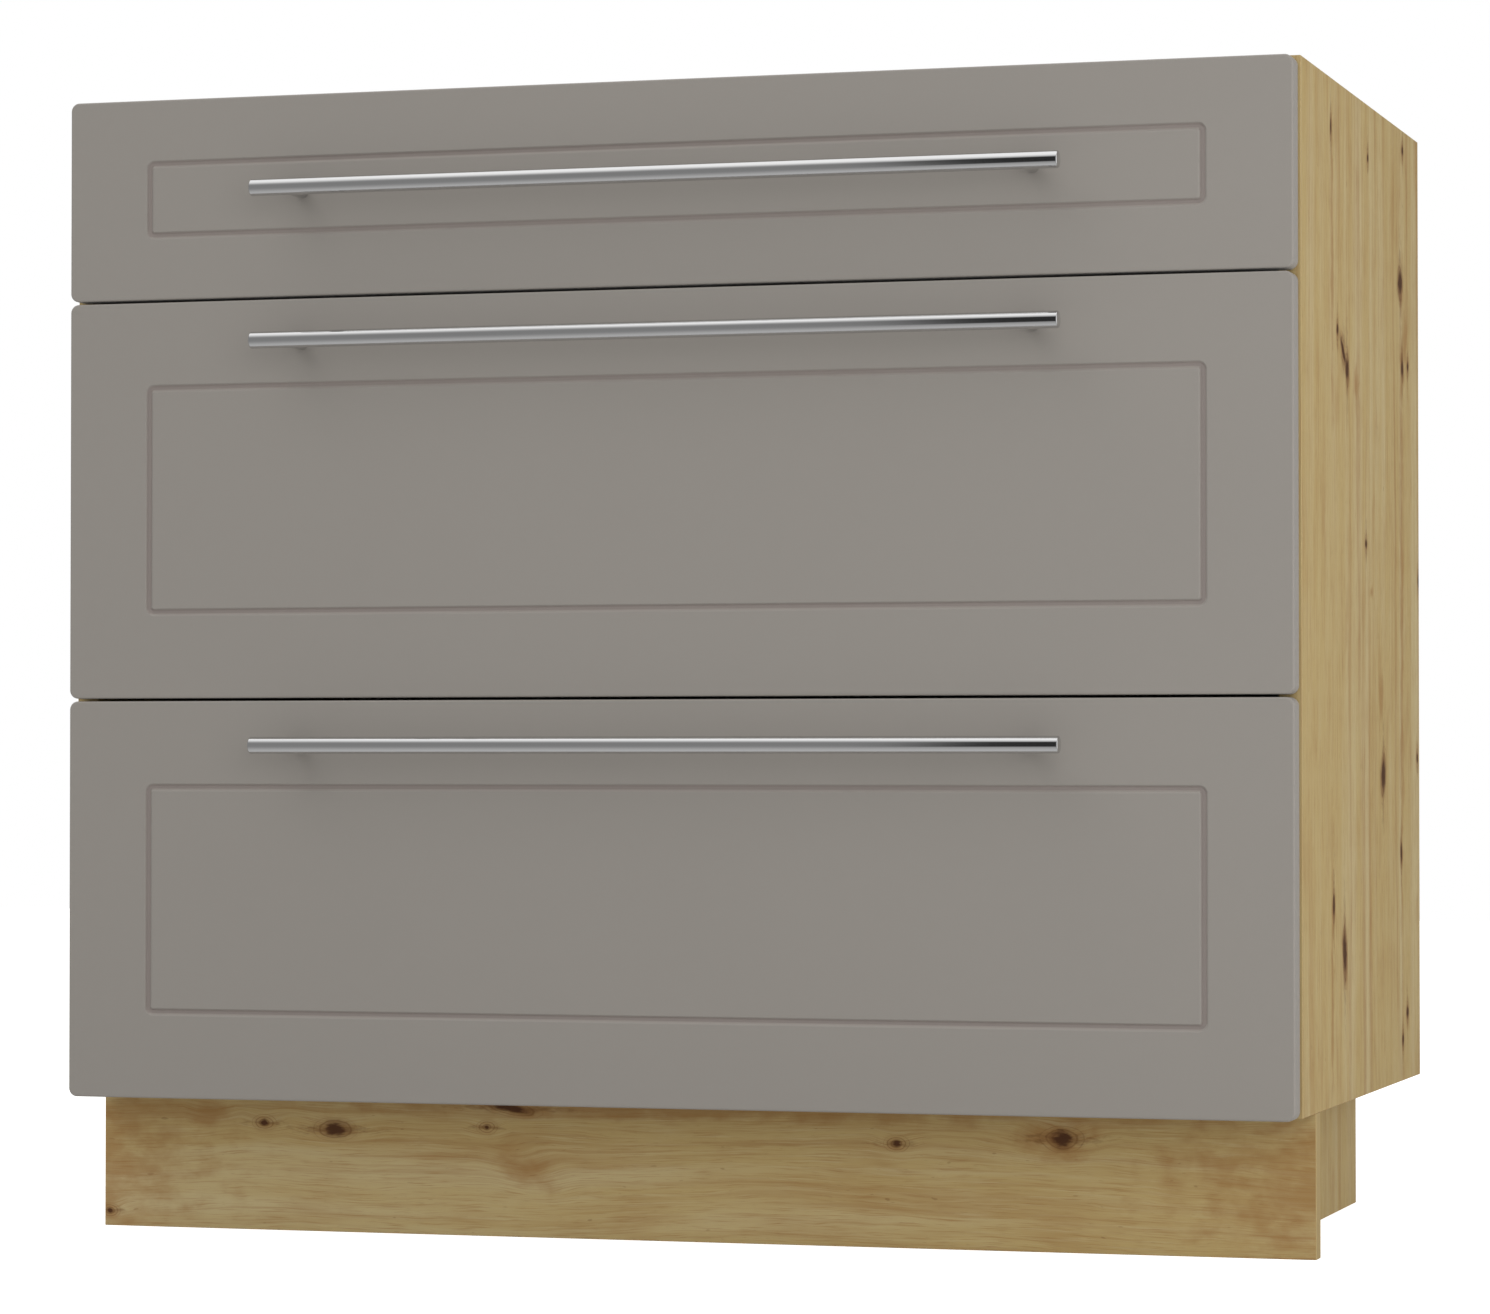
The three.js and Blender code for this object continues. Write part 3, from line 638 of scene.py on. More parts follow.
def oak_decor(name, knots, stains):
    """The printed picture of knotty oak. It takes a place in mm, X across the grain and Y along it.

    knots have a black heart, stains are only brown. The grain bends round both, as it does round a branch.
    """
    boards = bpy.context.scene.cabinet.boards
    tree, node, given = node_group(
        name, "ShaderNodeTree", {"Place": "Vector"}, {"Colour": "Color", "Grain": "Float"})
    place = node("ShaderNodeVectorMath", [given["Place"], (1, 1, 0)], "MULTIPLY")
    near_knot = nearest_mark(node, place, knots)
    # A halo is a little larger than its knot, and a trail is much longer and follows the grain.
    near_halo = nearest_mark(node, place, [mark._replace(
        half_width=mark.half_width + 4, half_length=1.5 * mark.half_length + 6) for mark in knots])
    near_trail = nearest_mark(node, place, [mark._replace(
        half_width=0.6 * mark.half_width + 0.8, half_length=3.5 * mark.half_length + 10,
        turn=0.1 * mark.turn) for mark in knots])
    near_stain = nearest_mark(node, place, stains)

    axes = node("ShaderNodeSeparateXYZ", [place]).outputs
    # The grain drifts sideways in long, middle and short waves, and gives way to knots and stains, in mm.
    bent = axes["X"]
    for drift, push in (
            (grained(node, place, 90, 420, 2), 30.0), (grained(node, place, 14, 70, 2, start=15), 5.0),
            (grained(node, place, 5, 26, 2, start=25), 1.4)):
        bent = node(MATH, [drift, push, bent], "MULTIPLY_ADD")
    for near, reach, push in ((near_halo, 2.4, 5.0), (near_stain, 2.0, 7.0)):
        aside = node(MAP_RANGE, {
            "Value": near, "From Min": 0.0, "From Max": reach, "To Min": push, "To Max": 0.0},
            interpolation_type="SMOOTHSTEP")
        bent = node(MATH, [bent, aside], "ADD")
    grain = node(COMBINE, [bent, axes["Y"]])

    ragged = grained(node, place, 2.0, 7, 4, start=30)
    cloud = grained(node, place, 12, 22, 3, start=50)
    patch = grained(node, grain, 24, 80, 3, start=300)
    speck = grained(node, place, 1.4, 3, 3, start=70)
    pores = grained(node, grain, 0.5, 9, 1, start=200)
    heart = node(MATH, [ragged, 1.4, near_knot], "MULTIPLY_ADD")
    rim = node(MATH, [cloud, 1.6, near_knot], "MULTIPLY_ADD")
    halo = node(MATH, [cloud, 1.6, near_halo], "MULTIPLY_ADD")
    trail = node(MATH, [ragged, 2.4, near_trail], "MULTIPLY_ADD")
    brown_spot = node(MATH, [cloud, 2.4, near_stain], "MULTIPLY_ADD")
    flecks = node(MATH, [node(MATH, [speck, 2.5], "MULTIPLY"), heart], "SUBTRACT")
    phase = node(MATH, [near_halo, 22.0, node(MATH, [cloud, 9.0], "MULTIPLY")], "MULTIPLY_ADD")
    beyond = node(MATH, [node(MATH, [near_halo, 0.8], "SUBTRACT"), 0.0], "MAXIMUM")
    rings = node(MATH, [beyond, -3.0, node(MATH, [phase], "SINE")], "MULTIPLY_ADD")
    colour = layered(node, (*boards.oak_tan, 1), (   # wide bands first, then fine grain, stains and knots
        (grained(node, grain, 30, 900, 2, start=40), -0.05, 0.2, 0.9, boards.oak_light),
        (grained(node, grain, 22, 700, 2, start=80), 0.0, 0.25, 0.6, boards.oak_brown),
        (grained(node, grain, 9, 420, 3, start=60), 0.0, 0.25, 0.45, boards.oak_light),
        (grained(node, grain, 6, 320, 3, start=90), 0.0, 0.25, 0.35, boards.oak_brown),
        (patch, 0.0, 0.25, 0.3, boards.oak_brown),
        (patch, 0.0, -0.25, 0.3, boards.oak_light),
        (grained(node, grain, 2.2, 130, 3, start=120), 0.0, 0.25, 0.4, boards.oak_brown),
        (grained(node, grain, 1.3, 60, 2, start=140), 0.0, 0.25, 0.5, boards.oak_light),
        (grained(node, grain, 0.9, 30, 2, start=160), 0.0, 0.25, 0.5, boards.oak_brown),
        (pores, 0.15, 0.3, 0.35, boards.oak_knot_rim),
        (grained(node, grain, 3, 11, 1, start=240), 0.24, 0.3, 0.35, boards.oak_knot_rim),
        (brown_spot, 1.3, 0.1, 0.6, boards.oak_brown),
        (halo, 1.35, 0.3, 0.4, boards.oak_brown),
        (rings, 0.2, 0.95, 0.42, boards.oak_knot_rim),
        (trail, 1.1, 0.1, 0.5, boards.oak_knot_rim),
        (rim, 1.7, 0.6, 0.6, boards.oak_knot_rim),
        (heart, 1.1, 0.5, 0.93, boards.oak_knot),
        (flecks, 0.15, 0.5, 0.55, boards.oak_knot_rim),
    ))
    fine = node(MATH, [pores, 0.5], "ADD")
    node("NodeGroupOutput", {"Colour": colour, "Grain": fine})
    return tree


def oak_decor_melamine(name, decor, across, along, origin):
    """Chipboard faced with printed, melamine-soaked decor paper, pressed against a sheet with fine pores.

    The eye sees a picture of knotty oak under a dry satin skin, which breaks up a highlight along the grain.
    across and along are the board's own axes, origin is where the picture starts on them, in mm.
    """
    material, node, place = surface(name, Roughness=0.5, IOR=1.5, Specular_IOR_Level=0.2)
    axes = node("ShaderNodeSeparateXYZ", [place]).outputs
    on_sheet = node("ShaderNodeMapping", {
        "Vector": node(COMBINE, [axes[across], axes[along]]), "Location": (-origin[0], -origin[1], 0)})
    picture = node("ShaderNodeGroup", {"Place": on_sheet}, node_tree=decor).outputs
    grain = picture["Grain"]
    return varied(material, picture["Colour"], (grain, 0.42, 0.56), (grain, -0.03 * MM))


def oak_edging(name, along):
    """Edging of ABS, extruded and printed like the board: smoother and plainer than the decor paper.

    along is the index of the axis that its faint streaks follow.
    """
    boards = bpy.context.scene.cabinet.boards
    material, node, place = surface(name, Roughness=0.42, IOR=1.5)
    streak = [1 / 1.5] * 3
    streak[along] = 1 / 80
    scaled = node("ShaderNodeMapping", {"Vector": place, "Scale": tuple(streak)})
    noise = node(NOISE, {"Vector": scaled, "Scale": 1.0, "Detail": 2.0})
    colour = layered(node, (*boards.banding, 1), ((noise, 0.45, 0.75, 0.35, boards.oak_brown),))
    return varied(material, colour)


def chipboard_core():
    """The sawn core of chipboard: pressed wood flakes of 1 to 3 mm, matt, with small open gaps."""
    boards = bpy.context.scene.cabinet.boards
    material, node, place = surface("sawn_chipboard", Roughness=0.85, IOR=1.45)
    flakes = node("ShaderNodeTexVoronoi", {"Vector": place, "Scale": 0.6, "Randomness": 1.0})
    tone = node("ShaderNodeSeparateColor", [flakes.outputs["Color"]]).outputs
    colour = layered(node, (*boards.core, 1), (
        (tone["Red"], 0.2, 1.0, 0.5, boards.oak_light),
        (tone["Green"], 0.6, 1.0, 0.7, boards.oak_brown),
        (tone["Blue"], 0.9, 1.0, 0.6, boards.oak_knot_rim),
    ))
    return varied(material, colour, relief=(tone["Green"], 0.15 * MM))


def white_melamine(name, roughness):
    """White melamine paper pressed with a fine pearl grain of about half a millimetre."""
    boards = bpy.context.scene.cabinet.boards
    material, node, place = surface(name, Roughness=roughness, IOR=1.5)
    pearl = node(NOISE, {"Vector": place, "Scale": 1.6, "Detail": 1.0})
    patch = node(NOISE, {"Vector": place, "Scale": 0.01, "Detail": 2.0})
    colour = layered(node, (*boards.white, 1), ((patch, 0.4, 0.8, 0.05, boards.banding),))
    return varied(material, colour, relief=(pearl, 0.02 * MM))


def raw_hardboard():
    """Wet-pressed brown fibreboard: a dull face with matted fibres and the print of the press screen."""
    boards = bpy.context.scene.cabinet.boards
    material, node, place = surface("pressed_hardboard", Roughness=0.75, IOR=1.45)
    fibres = node(NOISE, {"Vector": place, "Scale": 0.5, "Detail": 5.0, "Distortion": 1.5})
    patches = node(NOISE, {"Vector": place, "Scale": 0.015, "Detail": 3.0})
    colour = layered(node, (*boards.hardboard, 1), (
        (patches, 0.35, 0.75, 0.35, boards.oak_brown),
        (fibres, 0.45, 0.8, 0.5, boards.oak_knot_rim),
    ))
    return varied(material, colour, relief=(fibres, 0.05 * MM))


def matt_lacquer():
    """Two-pack lacquer sprayed on milled fibreboard and left matt.

    The eye sees an even warm grey, a wide weak gloss, a very faint orange peel of 2 to 3 mm, and a cool
    bloom from the matting powder where it looks along a face. Painted shade makes the milled line darker and
    redder the deeper it is, and a painted highlight pales the faces that turn upwards and to the left.
    """
    fronts = bpy.context.scene.cabinet.fronts
    material, node, place = surface(
        "matt_taupe_lacquer", Roughness=0.55, IOR=1.5, Sheen_Weight=0.1, Sheen_Roughness=0.4,
        Sheen_Tint=(0.97, 0.98, 1, 1))
    peel = node(NOISE, {"Vector": place, "Scale": 0.4, "Detail": 2.0})
    dust = node(NOISE, {"Vector": place, "Scale": 3.0, "Detail": 1.0})
    cloud = node(NOISE, {"Vector": place, "Scale": 0.006, "Detail": 2.0})
    darker = tuple(0.985 * channel for channel in fronts.lacquer)
    # The paler lacquer of a painted highlight.
    paler = tuple(1.35 * channel for channel in fronts.lacquer)
    line_depth = node("ShaderNodeAttribute", attribute_name="line_depth")
    # How far a face turns towards the key light at the upper left, for the painted highlight.
    upwards = node("ShaderNodeVectorMath", [
        node("ShaderNodeNewGeometry").outputs["Normal"], (-0.5, 0, 0.87)], "DOT_PRODUCT")
    colour = layered(node, (*fronts.lacquer, 1), (
        (cloud, 0.35, 0.75, 0.5, darker),
        # painted shade: the milled line turns darker and redder with its depth
        (line_depth.outputs["Fac"], 0.1, 0.7, 1.0, fronts.line_painted_shade),
        # painted highlight: faces turned upwards and to the left, towards the key light, are paler
        (upwards.outputs["Value"], 0.15, 0.6, 0.6, paler)))
    return varied(material, colour, (dust, 0.5, 0.6), (peel, 0.02 * MM))


def chrome_plate():
    """Steel polished and chromed: a bright mirror, a little softened by polishing marks round the bar."""
    handles = bpy.context.scene.cabinet.handles
    material, node, place = surface(
        "polished_chrome_plate", Base_Color=(*handles.chrome, 1), Metallic=1.0, Roughness=0.06)
    rings = node("ShaderNodeMapping", {"Vector": place, "Scale": (4.0, 0.1, 0.1)})
    marks = node(NOISE, {"Vector": rings, "Scale": 1.0, "Detail": 3.0})
    return varied(material, gloss=(marks, 0.05, 0.08))


def bright_zinc(name, roughness):
    """Cold-rolled steel plated with bright zinc: a cool, slightly milky metal with faint rolling streaks."""
    hardware = bpy.context.scene.cabinet.hardware
    material, node, place = surface(name, Metallic=1.0, Roughness=roughness)
    rolled = node("ShaderNodeMapping", {"Vector": place, "Scale": (1.2, 0.02, 1.2)})
    streaks = node(NOISE, {"Vector": rolled, "Scale": 1.0, "Detail": 3.0})
    bloom = node(NOISE, {"Vector": place, "Scale": 0.05, "Detail": 3.0})
    darker = tuple(0.82 * channel for channel in hardware.steel)
    colour = layered(node, (*hardware.steel, 1), (
        (bloom, 0.4, 0.75, 0.6, darker), (streaks, 0.45, 0.75, 0.4, darker)))
    return varied(material, colour, (bloom, 0.8 * roughness, 1.3 * roughness))


def clear_polyurethane():
    """Clear soft polyurethane, cast in domes: milky, with a faint gloss."""
    material, node, place = surface("cast_clear_polyurethane", Roughness=0.3, IOR=1.49)
    haze = node(NOISE, {"Vector": place, "Scale": 0.4, "Detail": 2.0})
    colour = layered(node, (*linear("d9dad6"), 1), ((haze, 0.4, 0.8, 0.4, linear("bfc0bb")),))
    return varied(material, colour)


# --- Materials and boards that several operators share ---

# Knots and stains of the upright boards, in mm: from the front edge, above the floor, then half sizes.
UPRIGHT_KNOTS = marked(
    (116, 785, 2.6, 6), (427, 805, 4, 3.5), (270, 781, 3.6, 3), (414, 703, 11, 9, 20),
    (423, 639, 5.5, 7), (449, 642, 4, 3.5), (180, 620, 8, 8, 20), (164, 632, 14, 3.5, -38),
    (141, 645, 4, 4), (259, 499, 4.5, 3.5), (497, 480, 3, 6), (490, 343, 4, 4),
    (332, 331, 10, 12, -20), (413, 272, 4, 8), (121, 241, 4.5, 8), (165, 206, 8, 15, 8),
    (441, 151, 5, 4), (419, 131, 4.5, 4.5),
)
UPRIGHT_STAINS = marked(
    (434, 655, 15, 24), (220, 612, 11, 13), (281, 465, 9, 5), (322, 392, 12, 28),
    (418, 470, 9, 300), (120, 700, 6, 130), (115, 190, 6, 90),
)

# The same for the plinth: above the floor, then from the middle to the right.
PLINTH_KNOTS = marked(
    (78, -324, 2.6, 3), (74, -269, 5.5, 8), (92, -134, 2.6, 13, 8), (78, -152, 1.8, 2),
    (73, 153, 2.6, 3), (79, 272, 6, 7.5), (11, -446, 1.8, 2.2),
)
PLINTH_STAINS = marked(
    (84, -368, 12, 20), (80, 264, 17, 34), (66, 375, 9, 42), (66, 372, 4, 22), (62, 432, 2, 20),
    # The last two marks of the next row are broad, and darken both ends of the plinth.
    (48, -122, 12, 24, 25), (95, 40, 9, 420), (50, -480, 60, 110), (50, 470, 60, 120),
)

_finishes = {}


def finish(make, *details):
    """The material or node group that a function makes, made once and then shared by all pieces."""
    if (make, details) not in _finishes:
        _finishes[make, details] = make(*details)
    return _finishes[make, details]


def oak(name, across, along, origin, knots=UPRIGHT_KNOTS, stains=UPRIGHT_STAINS, sheet="oak_decor_upright"):
    """Oak decor laid on the boards along one of their axes, from an origin in metres."""
    decor = finish(oak_decor, sheet, knots, stains)
    return finish(oak_decor_melamine, name, decor, across, along, tuple(part / MM for part in origin))


FACE_TURN = 0.95   # a face whose normal reaches this along the thickness belongs to the board's flat
SHEET_EASE = 0.3 * MM


def faced_board(node, body, slot, materials, thin, edged=()):
    """Replaces a packed board by a copy with eased edges.

    Its two flats take the first material, the edges listed in edged (axis, direction) the second, and every
    sawn edge, groove and hole the third. thin is the axis of its thickness.
    """
    low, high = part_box(node)
    bm = eased_copy(node, bpy.context.scene.cabinet.boards.ease)
    bm.normal_update()
    for face in bm.faces:
        centre, normal = face.calc_center_median(), face.normal
        if abs(normal[thin]) > FACE_TURN:
            sunk = min(centre[thin] - low[thin], high[thin] - centre[thin]) > MM
            face.material_index = 2 if sunk else 0
            continue
        axis = max((a for a in range(3) if a != thin), key=lambda a: abs(normal[a]))
        direction = 1 if normal[axis] > 0 else -1
        at_end = abs(centre[axis] - (high if direction > 0 else low)[axis]) < MM
        face.material_index = 1 if at_end and (axis, direction) in edged else 2
    mesh = finished_mesh(f"{node}_board", bm, materials)
    return show(f"{node}_board", mesh, body, slot, node)


def thin_sheet(node, body, slot, axis, white_side):
    """Replaces a packed hardboard sheet: white on one side, raw fibre on the other and on its edges."""
    bm = eased_copy(node, SHEET_EASE)
    bm.normal_update()
    for face in bm.faces:
        face.material_index = 0 if face.normal[axis] * white_side > FACE_TURN else 1
    sides = [finish(white_melamine, "white_lacquered_hardboard", 0.5), finish(raw_hardboard)]
    mesh = finished_mesh(f"{node}_sheet", bm, sides)
    return show(f"{node}_sheet", mesh, body, slot, node)


def fasteners(name, body, material, heads, slot="zinc_steel", **sizes):
    """Puts a round head on every place, facing its own way, as one mesh on one body.

    heads lists (place, facing). If nothing else is said, a head has a cross recess and a 4 mm shank.
    """
    values = titled(**{"material": material, "cross_recess": True, "shank_diameter": 4 * MM} | sizes)
    mesh = grown(name, points_mesh(name, heads), finish(fastener_tree), values)
    return show(name, remade(mesh, material), body, slot)


def remade(mesh, material):
    """A grown mesh with its faces outwards, its shading set and only this material."""
    bm = bmesh.new()
    bm.from_mesh(mesh)
    for face in bm.faces:
        face.material_index = 0
    return finished_mesh(mesh.name, bm, [material])


# --- Operators ---

class CabinetOperator:
    """What every operator of the cabinet shares."""

    bl_options = {"REGISTER", "UNDO"}

    @classmethod
    def poll(cls, context):
        return hasattr(context.scene, "cabinet")


CAMERA_SENSOR = 36   # mm
CAMERA_REACH = 50    # m
WHITE = (1, 1, 1, 1)
SOFTBOXES = (   # name, place, width and height, and the setting that holds the power
    ("key_softbox", (-1.6, -2.5, 3.5), (2.4, 2.4), "key_power"),
    ("fill_softbox", (1.3, -2.6, 1.0), (2.0, 1.7), "fill_power"),
    ("side_softbox", (2.6, -0.6, 0.65), (1.2, 1.2), "side_power"),
)
TENT_CENTRE = (0, -0.27, 0.55)
TENT_RADIUS = 8
TENT_STEPS = 48
TENT_BANDS = (   # from straight down (0) over the horizon (0.5) to straight up (1), and the brightness there
    (0.02, 0.57), (0.1, 0.5), (0.165, 0.43), (0.25, 0.356), (0.34, 0.3), (0.45, 0.283), (0.66, 0.278),
    (0.735, 0.31), (0.82, 0.5), (0.9, 0.9), (0.96, 1.2))
# Directions from the tent's centre, as parts of 1 along an axis.
OPENING = (("X", -0.165, 0.082, 0.044), ("Z", 0.05, 0.6, 0.42))   # axis, middle, where it begins and is full
OPENING_DEPTH = -0.5       # it is only before this along Y
OPENING_GREY = (0.03, 0.03, 0.03, 1)
WINDOW = (0.78, 0.88)      # where the bright part at the right begins and is full along X
WINDOW_GREY = (1.2, 1.2, 1.2, 1)
REAR = (0.35, 0.8, 0.5)    # where it begins to dim along Y, where it is dimmest, and what is left there


def seen(node):
    """1 for what the camera sees by itself, in a mirror or through glass, and 0 for light on a matt face."""
    path = node("ShaderNodeLightPath").outputs
    either = path["Is Camera Ray"]
    for kind in ("Is Glossy Ray", "Is Transmission Ray"):
        either = node(MATH, [either, path[kind]], "MAXIMUM")
    return either


def on_stage(name, bm, material, *hidden_from):
    """Adds an edited mesh to the scene with this material, on no body of the cabinet, hidden from these
    rays.
    """
    mesh = bpy.data.meshes.new(name)
    bm.to_mesh(mesh)
    bm.free()
    mesh.materials.append(material)
    thing = bpy.data.objects.new(name, mesh)
    bpy.context.scene.collection.objects.link(thing)
    for ray in hidden_from:
        setattr(thing, f"visible_{ray}", False)


class CABINET_OT_stage(CabinetOperator, bpy.types.Operator):
    """Sets up the camera, the pale floor, the white room and the soft lamps"""

    bl_idname = "cabinet.stage"
    bl_label = "Stage"

    def execute(self, context):
        studio = context.scene.cabinet.studio
        context.scene.view_settings.view_transform = "Standard"
        self.camera(context.scene, studio)
        self.room(context.scene, studio)
        self.floor(studio)
        self.light_tent()
        for name, place, size, power in SOFTBOXES:
            self.softbox(name, Vector(place), size, getattr(studio, power))
        return {"FINISHED"}

    @staticmethod
    def camera(scene, studio):
        """The photograph's own view, solved from the straight edges of the cabinet."""
        data = bpy.data.cameras.new("photo_camera")
        data.lens = studio.lens
        data.sensor_width = CAMERA_SENSOR
        data.clip_end = CAMERA_REACH
        camera = bpy.data.objects.new("photo_camera", data)
        camera.location = studio.camera_place
        camera.rotation_euler = Euler((QUARTER + studio.camera_pitch, 0, studio.camera_heading))
        scene.collection.objects.link(camera)
        scene.camera = camera

    @staticmethod
    def room(scene, studio):
        """White to the camera, and an even soft light for everything else."""
        scene.world = bpy.data.worlds.new("white_room")
        node = emptied(scene.world)
        light, white = [node("ShaderNodeBackground", {"Color": WHITE, "Strength": strength})
                        for strength in (studio.room_light, 1.0)]
        node("ShaderNodeOutputWorld", {"Surface": node("ShaderNodeMixShader", [seen(node), light, white])})

    @staticmethod
    def floor(studio):
        """A pale matt floor. To the camera it is lifted to white, but keeps its shadow.

        Reflections don't show it, because the light tent stands for it there.
        """
        material = bpy.data.materials.new("painted_studio_floor")
        node = emptied(material)
        paint = node("ShaderNodeBsdfDiffuse", {"Color": (*studio.floor_colour, 1)})
        lift = node(MATH, [seen(node), studio.floor_lift], "MULTIPLY")
        glow = node("ShaderNodeEmission", {"Color": WHITE, "Strength": lift})
        node("ShaderNodeOutputMaterial", {"Surface": node("ShaderNodeAddShader", [paint, glow])})
        bm = bmesh.new()
        bmesh.ops.create_grid(bm, x_segments=1, y_segments=1, size=studio.floor_size / 2)
        on_stage("studio_floor", bm, material, "glossy")

    @staticmethod
    def light_tent():
        """A light tent all round that only reflections see. It gives the chrome its bands.

        It is bright overhead and at the right, grey round the horizon with a narrow dark opening before the
        cabinet, paler below and dimmer behind it.
        """
        material = bpy.data.materials.new("light_tent_cloth")
        node = emptied(material)
        from_centre = node("ShaderNodeMapping", {
            "Vector": node("ShaderNodeTexCoord").outputs["Object"],
            "Location": tuple(-part for part in TENT_CENTRE)})
        direction = node("ShaderNodeVectorMath", [from_centre], "NORMALIZE")
        towards = node("ShaderNodeSeparateXYZ", [direction]).outputs
        level = node(MAP_RANGE, {
            "Value": towards["Z"], "From Min": -1.0, "From Max": 1.0, "To Min": 0.0, "To Max": 1.0})
        cloth = node("ShaderNodeValToRGB", [level], stops=[
            (place, (grey, grey, grey, 1)) for place, grey in TENT_BANDS])
        opening = node(MATH, [towards["Y"], OPENING_DEPTH], "LESS_THAN")
        for axis, middle, begins, full in OPENING:
            off = node(MATH, [node(MATH, [towards[axis], middle], "SUBTRACT")], "ABSOLUTE")
            share = node(MAP_RANGE, {"Value": off, "From Min": begins, "From Max": full},
                         interpolation_type="SMOOTHSTEP")
            opening = node(MATH, [opening, share], "MULTIPLY")
        window = node(MAP_RANGE, {"Value": towards["X"], "From Min": WINDOW[0], "From Max": WINDOW[1]},
                      interpolation_type="SMOOTHSTEP")
        shown = cloth
        for share, grey in ((opening, OPENING_GREY), (window, WINDOW_GREY)):
            shown = node("ShaderNodeMix", {"Factor": share, "A": shown, "B": grey}, data_type="RGBA")
        begins, full, left = REAR
        behind = node(MAP_RANGE, {
            "Value": towards["Y"], "From Min": begins, "From Max": full, "To Min": 1.0, "To Max": left},
            interpolation_type="SMOOTHSTEP")
        glow = node("ShaderNodeEmission", {"Color": shown, "Strength": behind})
        node("ShaderNodeOutputMaterial", {"Surface": glow})
        bm = bmesh.new()
        bmesh.ops.create_uvsphere(
            bm, u_segments=TENT_STEPS, v_segments=TENT_STEPS // 2, radius=TENT_RADIUS,
            matrix=Matrix.Translation(TENT_CENTRE))
        on_stage("light_tent", bm, material, "camera", "diffuse", "shadow", "transmission")

    @staticmethod
    def softbox(name, place, size, power):
        """A softbox that points at the cabinet. In reflections the light tent stands for it."""
        data = bpy.data.lights.new(name, "AREA")
        data.shape = "RECTANGLE"
        data.size, data.size_y = size
        data.energy = power
        lamp = bpy.data.objects.new(name, data)
        lamp.visible_glossy = False
        lamp.location = place
        middle = (CAD_BOX[0] + CAD_BOX[1]) / 2
        lamp.rotation_euler = (middle - place).to_track_quat("-Z", "Y").to_euler()
        bpy.context.scene.collection.objects.link(lamp)


class CABINET_OT_carcass(CabinetOperator, bpy.types.Operator):
    """Faces the boards of the carcass with oak decor and edging"""

    bl_idname = "cabinet.carcass"
    bl_label = "Carcass boards"

    def execute(self, context):
        front_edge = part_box("side_panel_right")[0].y
        upright = [oak("oak_melamine_upright", "Y", "Z", (front_edge, 0)),
                   finish(oak_edging, "oak_edging_upright", 2), finish(chipboard_core)]
        decor_start = -0.6   # left of every board
        lengthwise = [oak("oak_melamine_lengthwise", "Y", "X", (front_edge, decor_start)),
                      finish(oak_edging, "oak_edging_lengthwise", 0), finish(chipboard_core)]
        for side in SIDES:
            faced_board(f"side_panel_{side}", "carcass", "oak_decor_board", upright, 0, ((1, -1),))
        for node in ("bottom_panel", "top_rail_front", "top_rail_rear"):
            faced_board(node, "carcass", "oak_decor_board", lengthwise, 2, ((1, -1),))
        thin_sheet("back_panel", "carcass", "white_hardboard", 1, -1)
        return {"FINISHED"}


class CABINET_OT_plinth(CabinetOperator, bpy.types.Operator):
    """Faces the plinth and its supports with oak decor"""

    bl_idname = "cabinet.plinth"
    bl_label = "Plinth"

    def execute(self, context):
        core = finish(chipboard_core)
        edging = finish(oak_edging, "oak_edging_upright", 2)
        plinth = oak(
            "oak_melamine_plinth", "Z", "X", (0, 0), PLINTH_KNOTS, PLINTH_STAINS, "oak_decor_plinth")
        faced_board(
            "plinth_front", "carcass", "oak_decor_board", [plinth, edging, core], 1, ((0, 1), (0, -1)))
        support = oak("oak_melamine_upright", "Y", "Z", (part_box("side_panel_right")[0].y, 0))
        for side in SIDES:
            faced_board(f"plinth_support_{side}", "carcass", "oak_decor_board", [support, edging, core], 0)
        return {"FINISHED"}


class CABINET_OT_fronts(CabinetOperator, bpy.types.Operator):
    """Mills and lacquers the three drawer fronts"""

    bl_idname = "cabinet.fronts"
    bl_label = "Drawer fronts"

    def execute(self, context):
        fronts = context.scene.cabinet.fronts
        lacquer = finish(matt_lacquer)
        tree = finish(milled_front_tree)
        milled = titled(**{key: getattr(fronts, key) for key in (
            "corner_radius", "edge_radius", "back_ease", "line_width", "line_depth", "line_wall",
            "line_radius")})
        for drawer in DRAWERS:
            low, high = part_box(f"{drawer}_drawer_front")
            size, middle = high - low, (low + high) / 2
            screws = [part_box(f"{drawer}_handle_screw_{side}") for side in SIDES]
            left, right = [(ends[0] + ends[1]) / 2 for ends in screws]
            name = f"{drawer}_milled_front"
            mesh = grown(name, bpy.data.meshes.new(name), tree, milled | titled(
                width=size.x, height=size.z, thickness=size.y, line_inset_x=fronts.line_inset,
                line_inset_y=fronts.low_line_inset if drawer == "top" else fronts.line_inset,
                hole_spacing=right.x - left.x, hole_height=left.z - middle.z,
                place=(middle.x, low.y, middle.z), material=lacquer, hole_diameter=fronts.screw_hole))
            show(name, remade(mesh, lacquer), f"{drawer}_drawer", "taupe_lacquer", f"{drawer}_drawer_front")
        return {"FINISHED"}


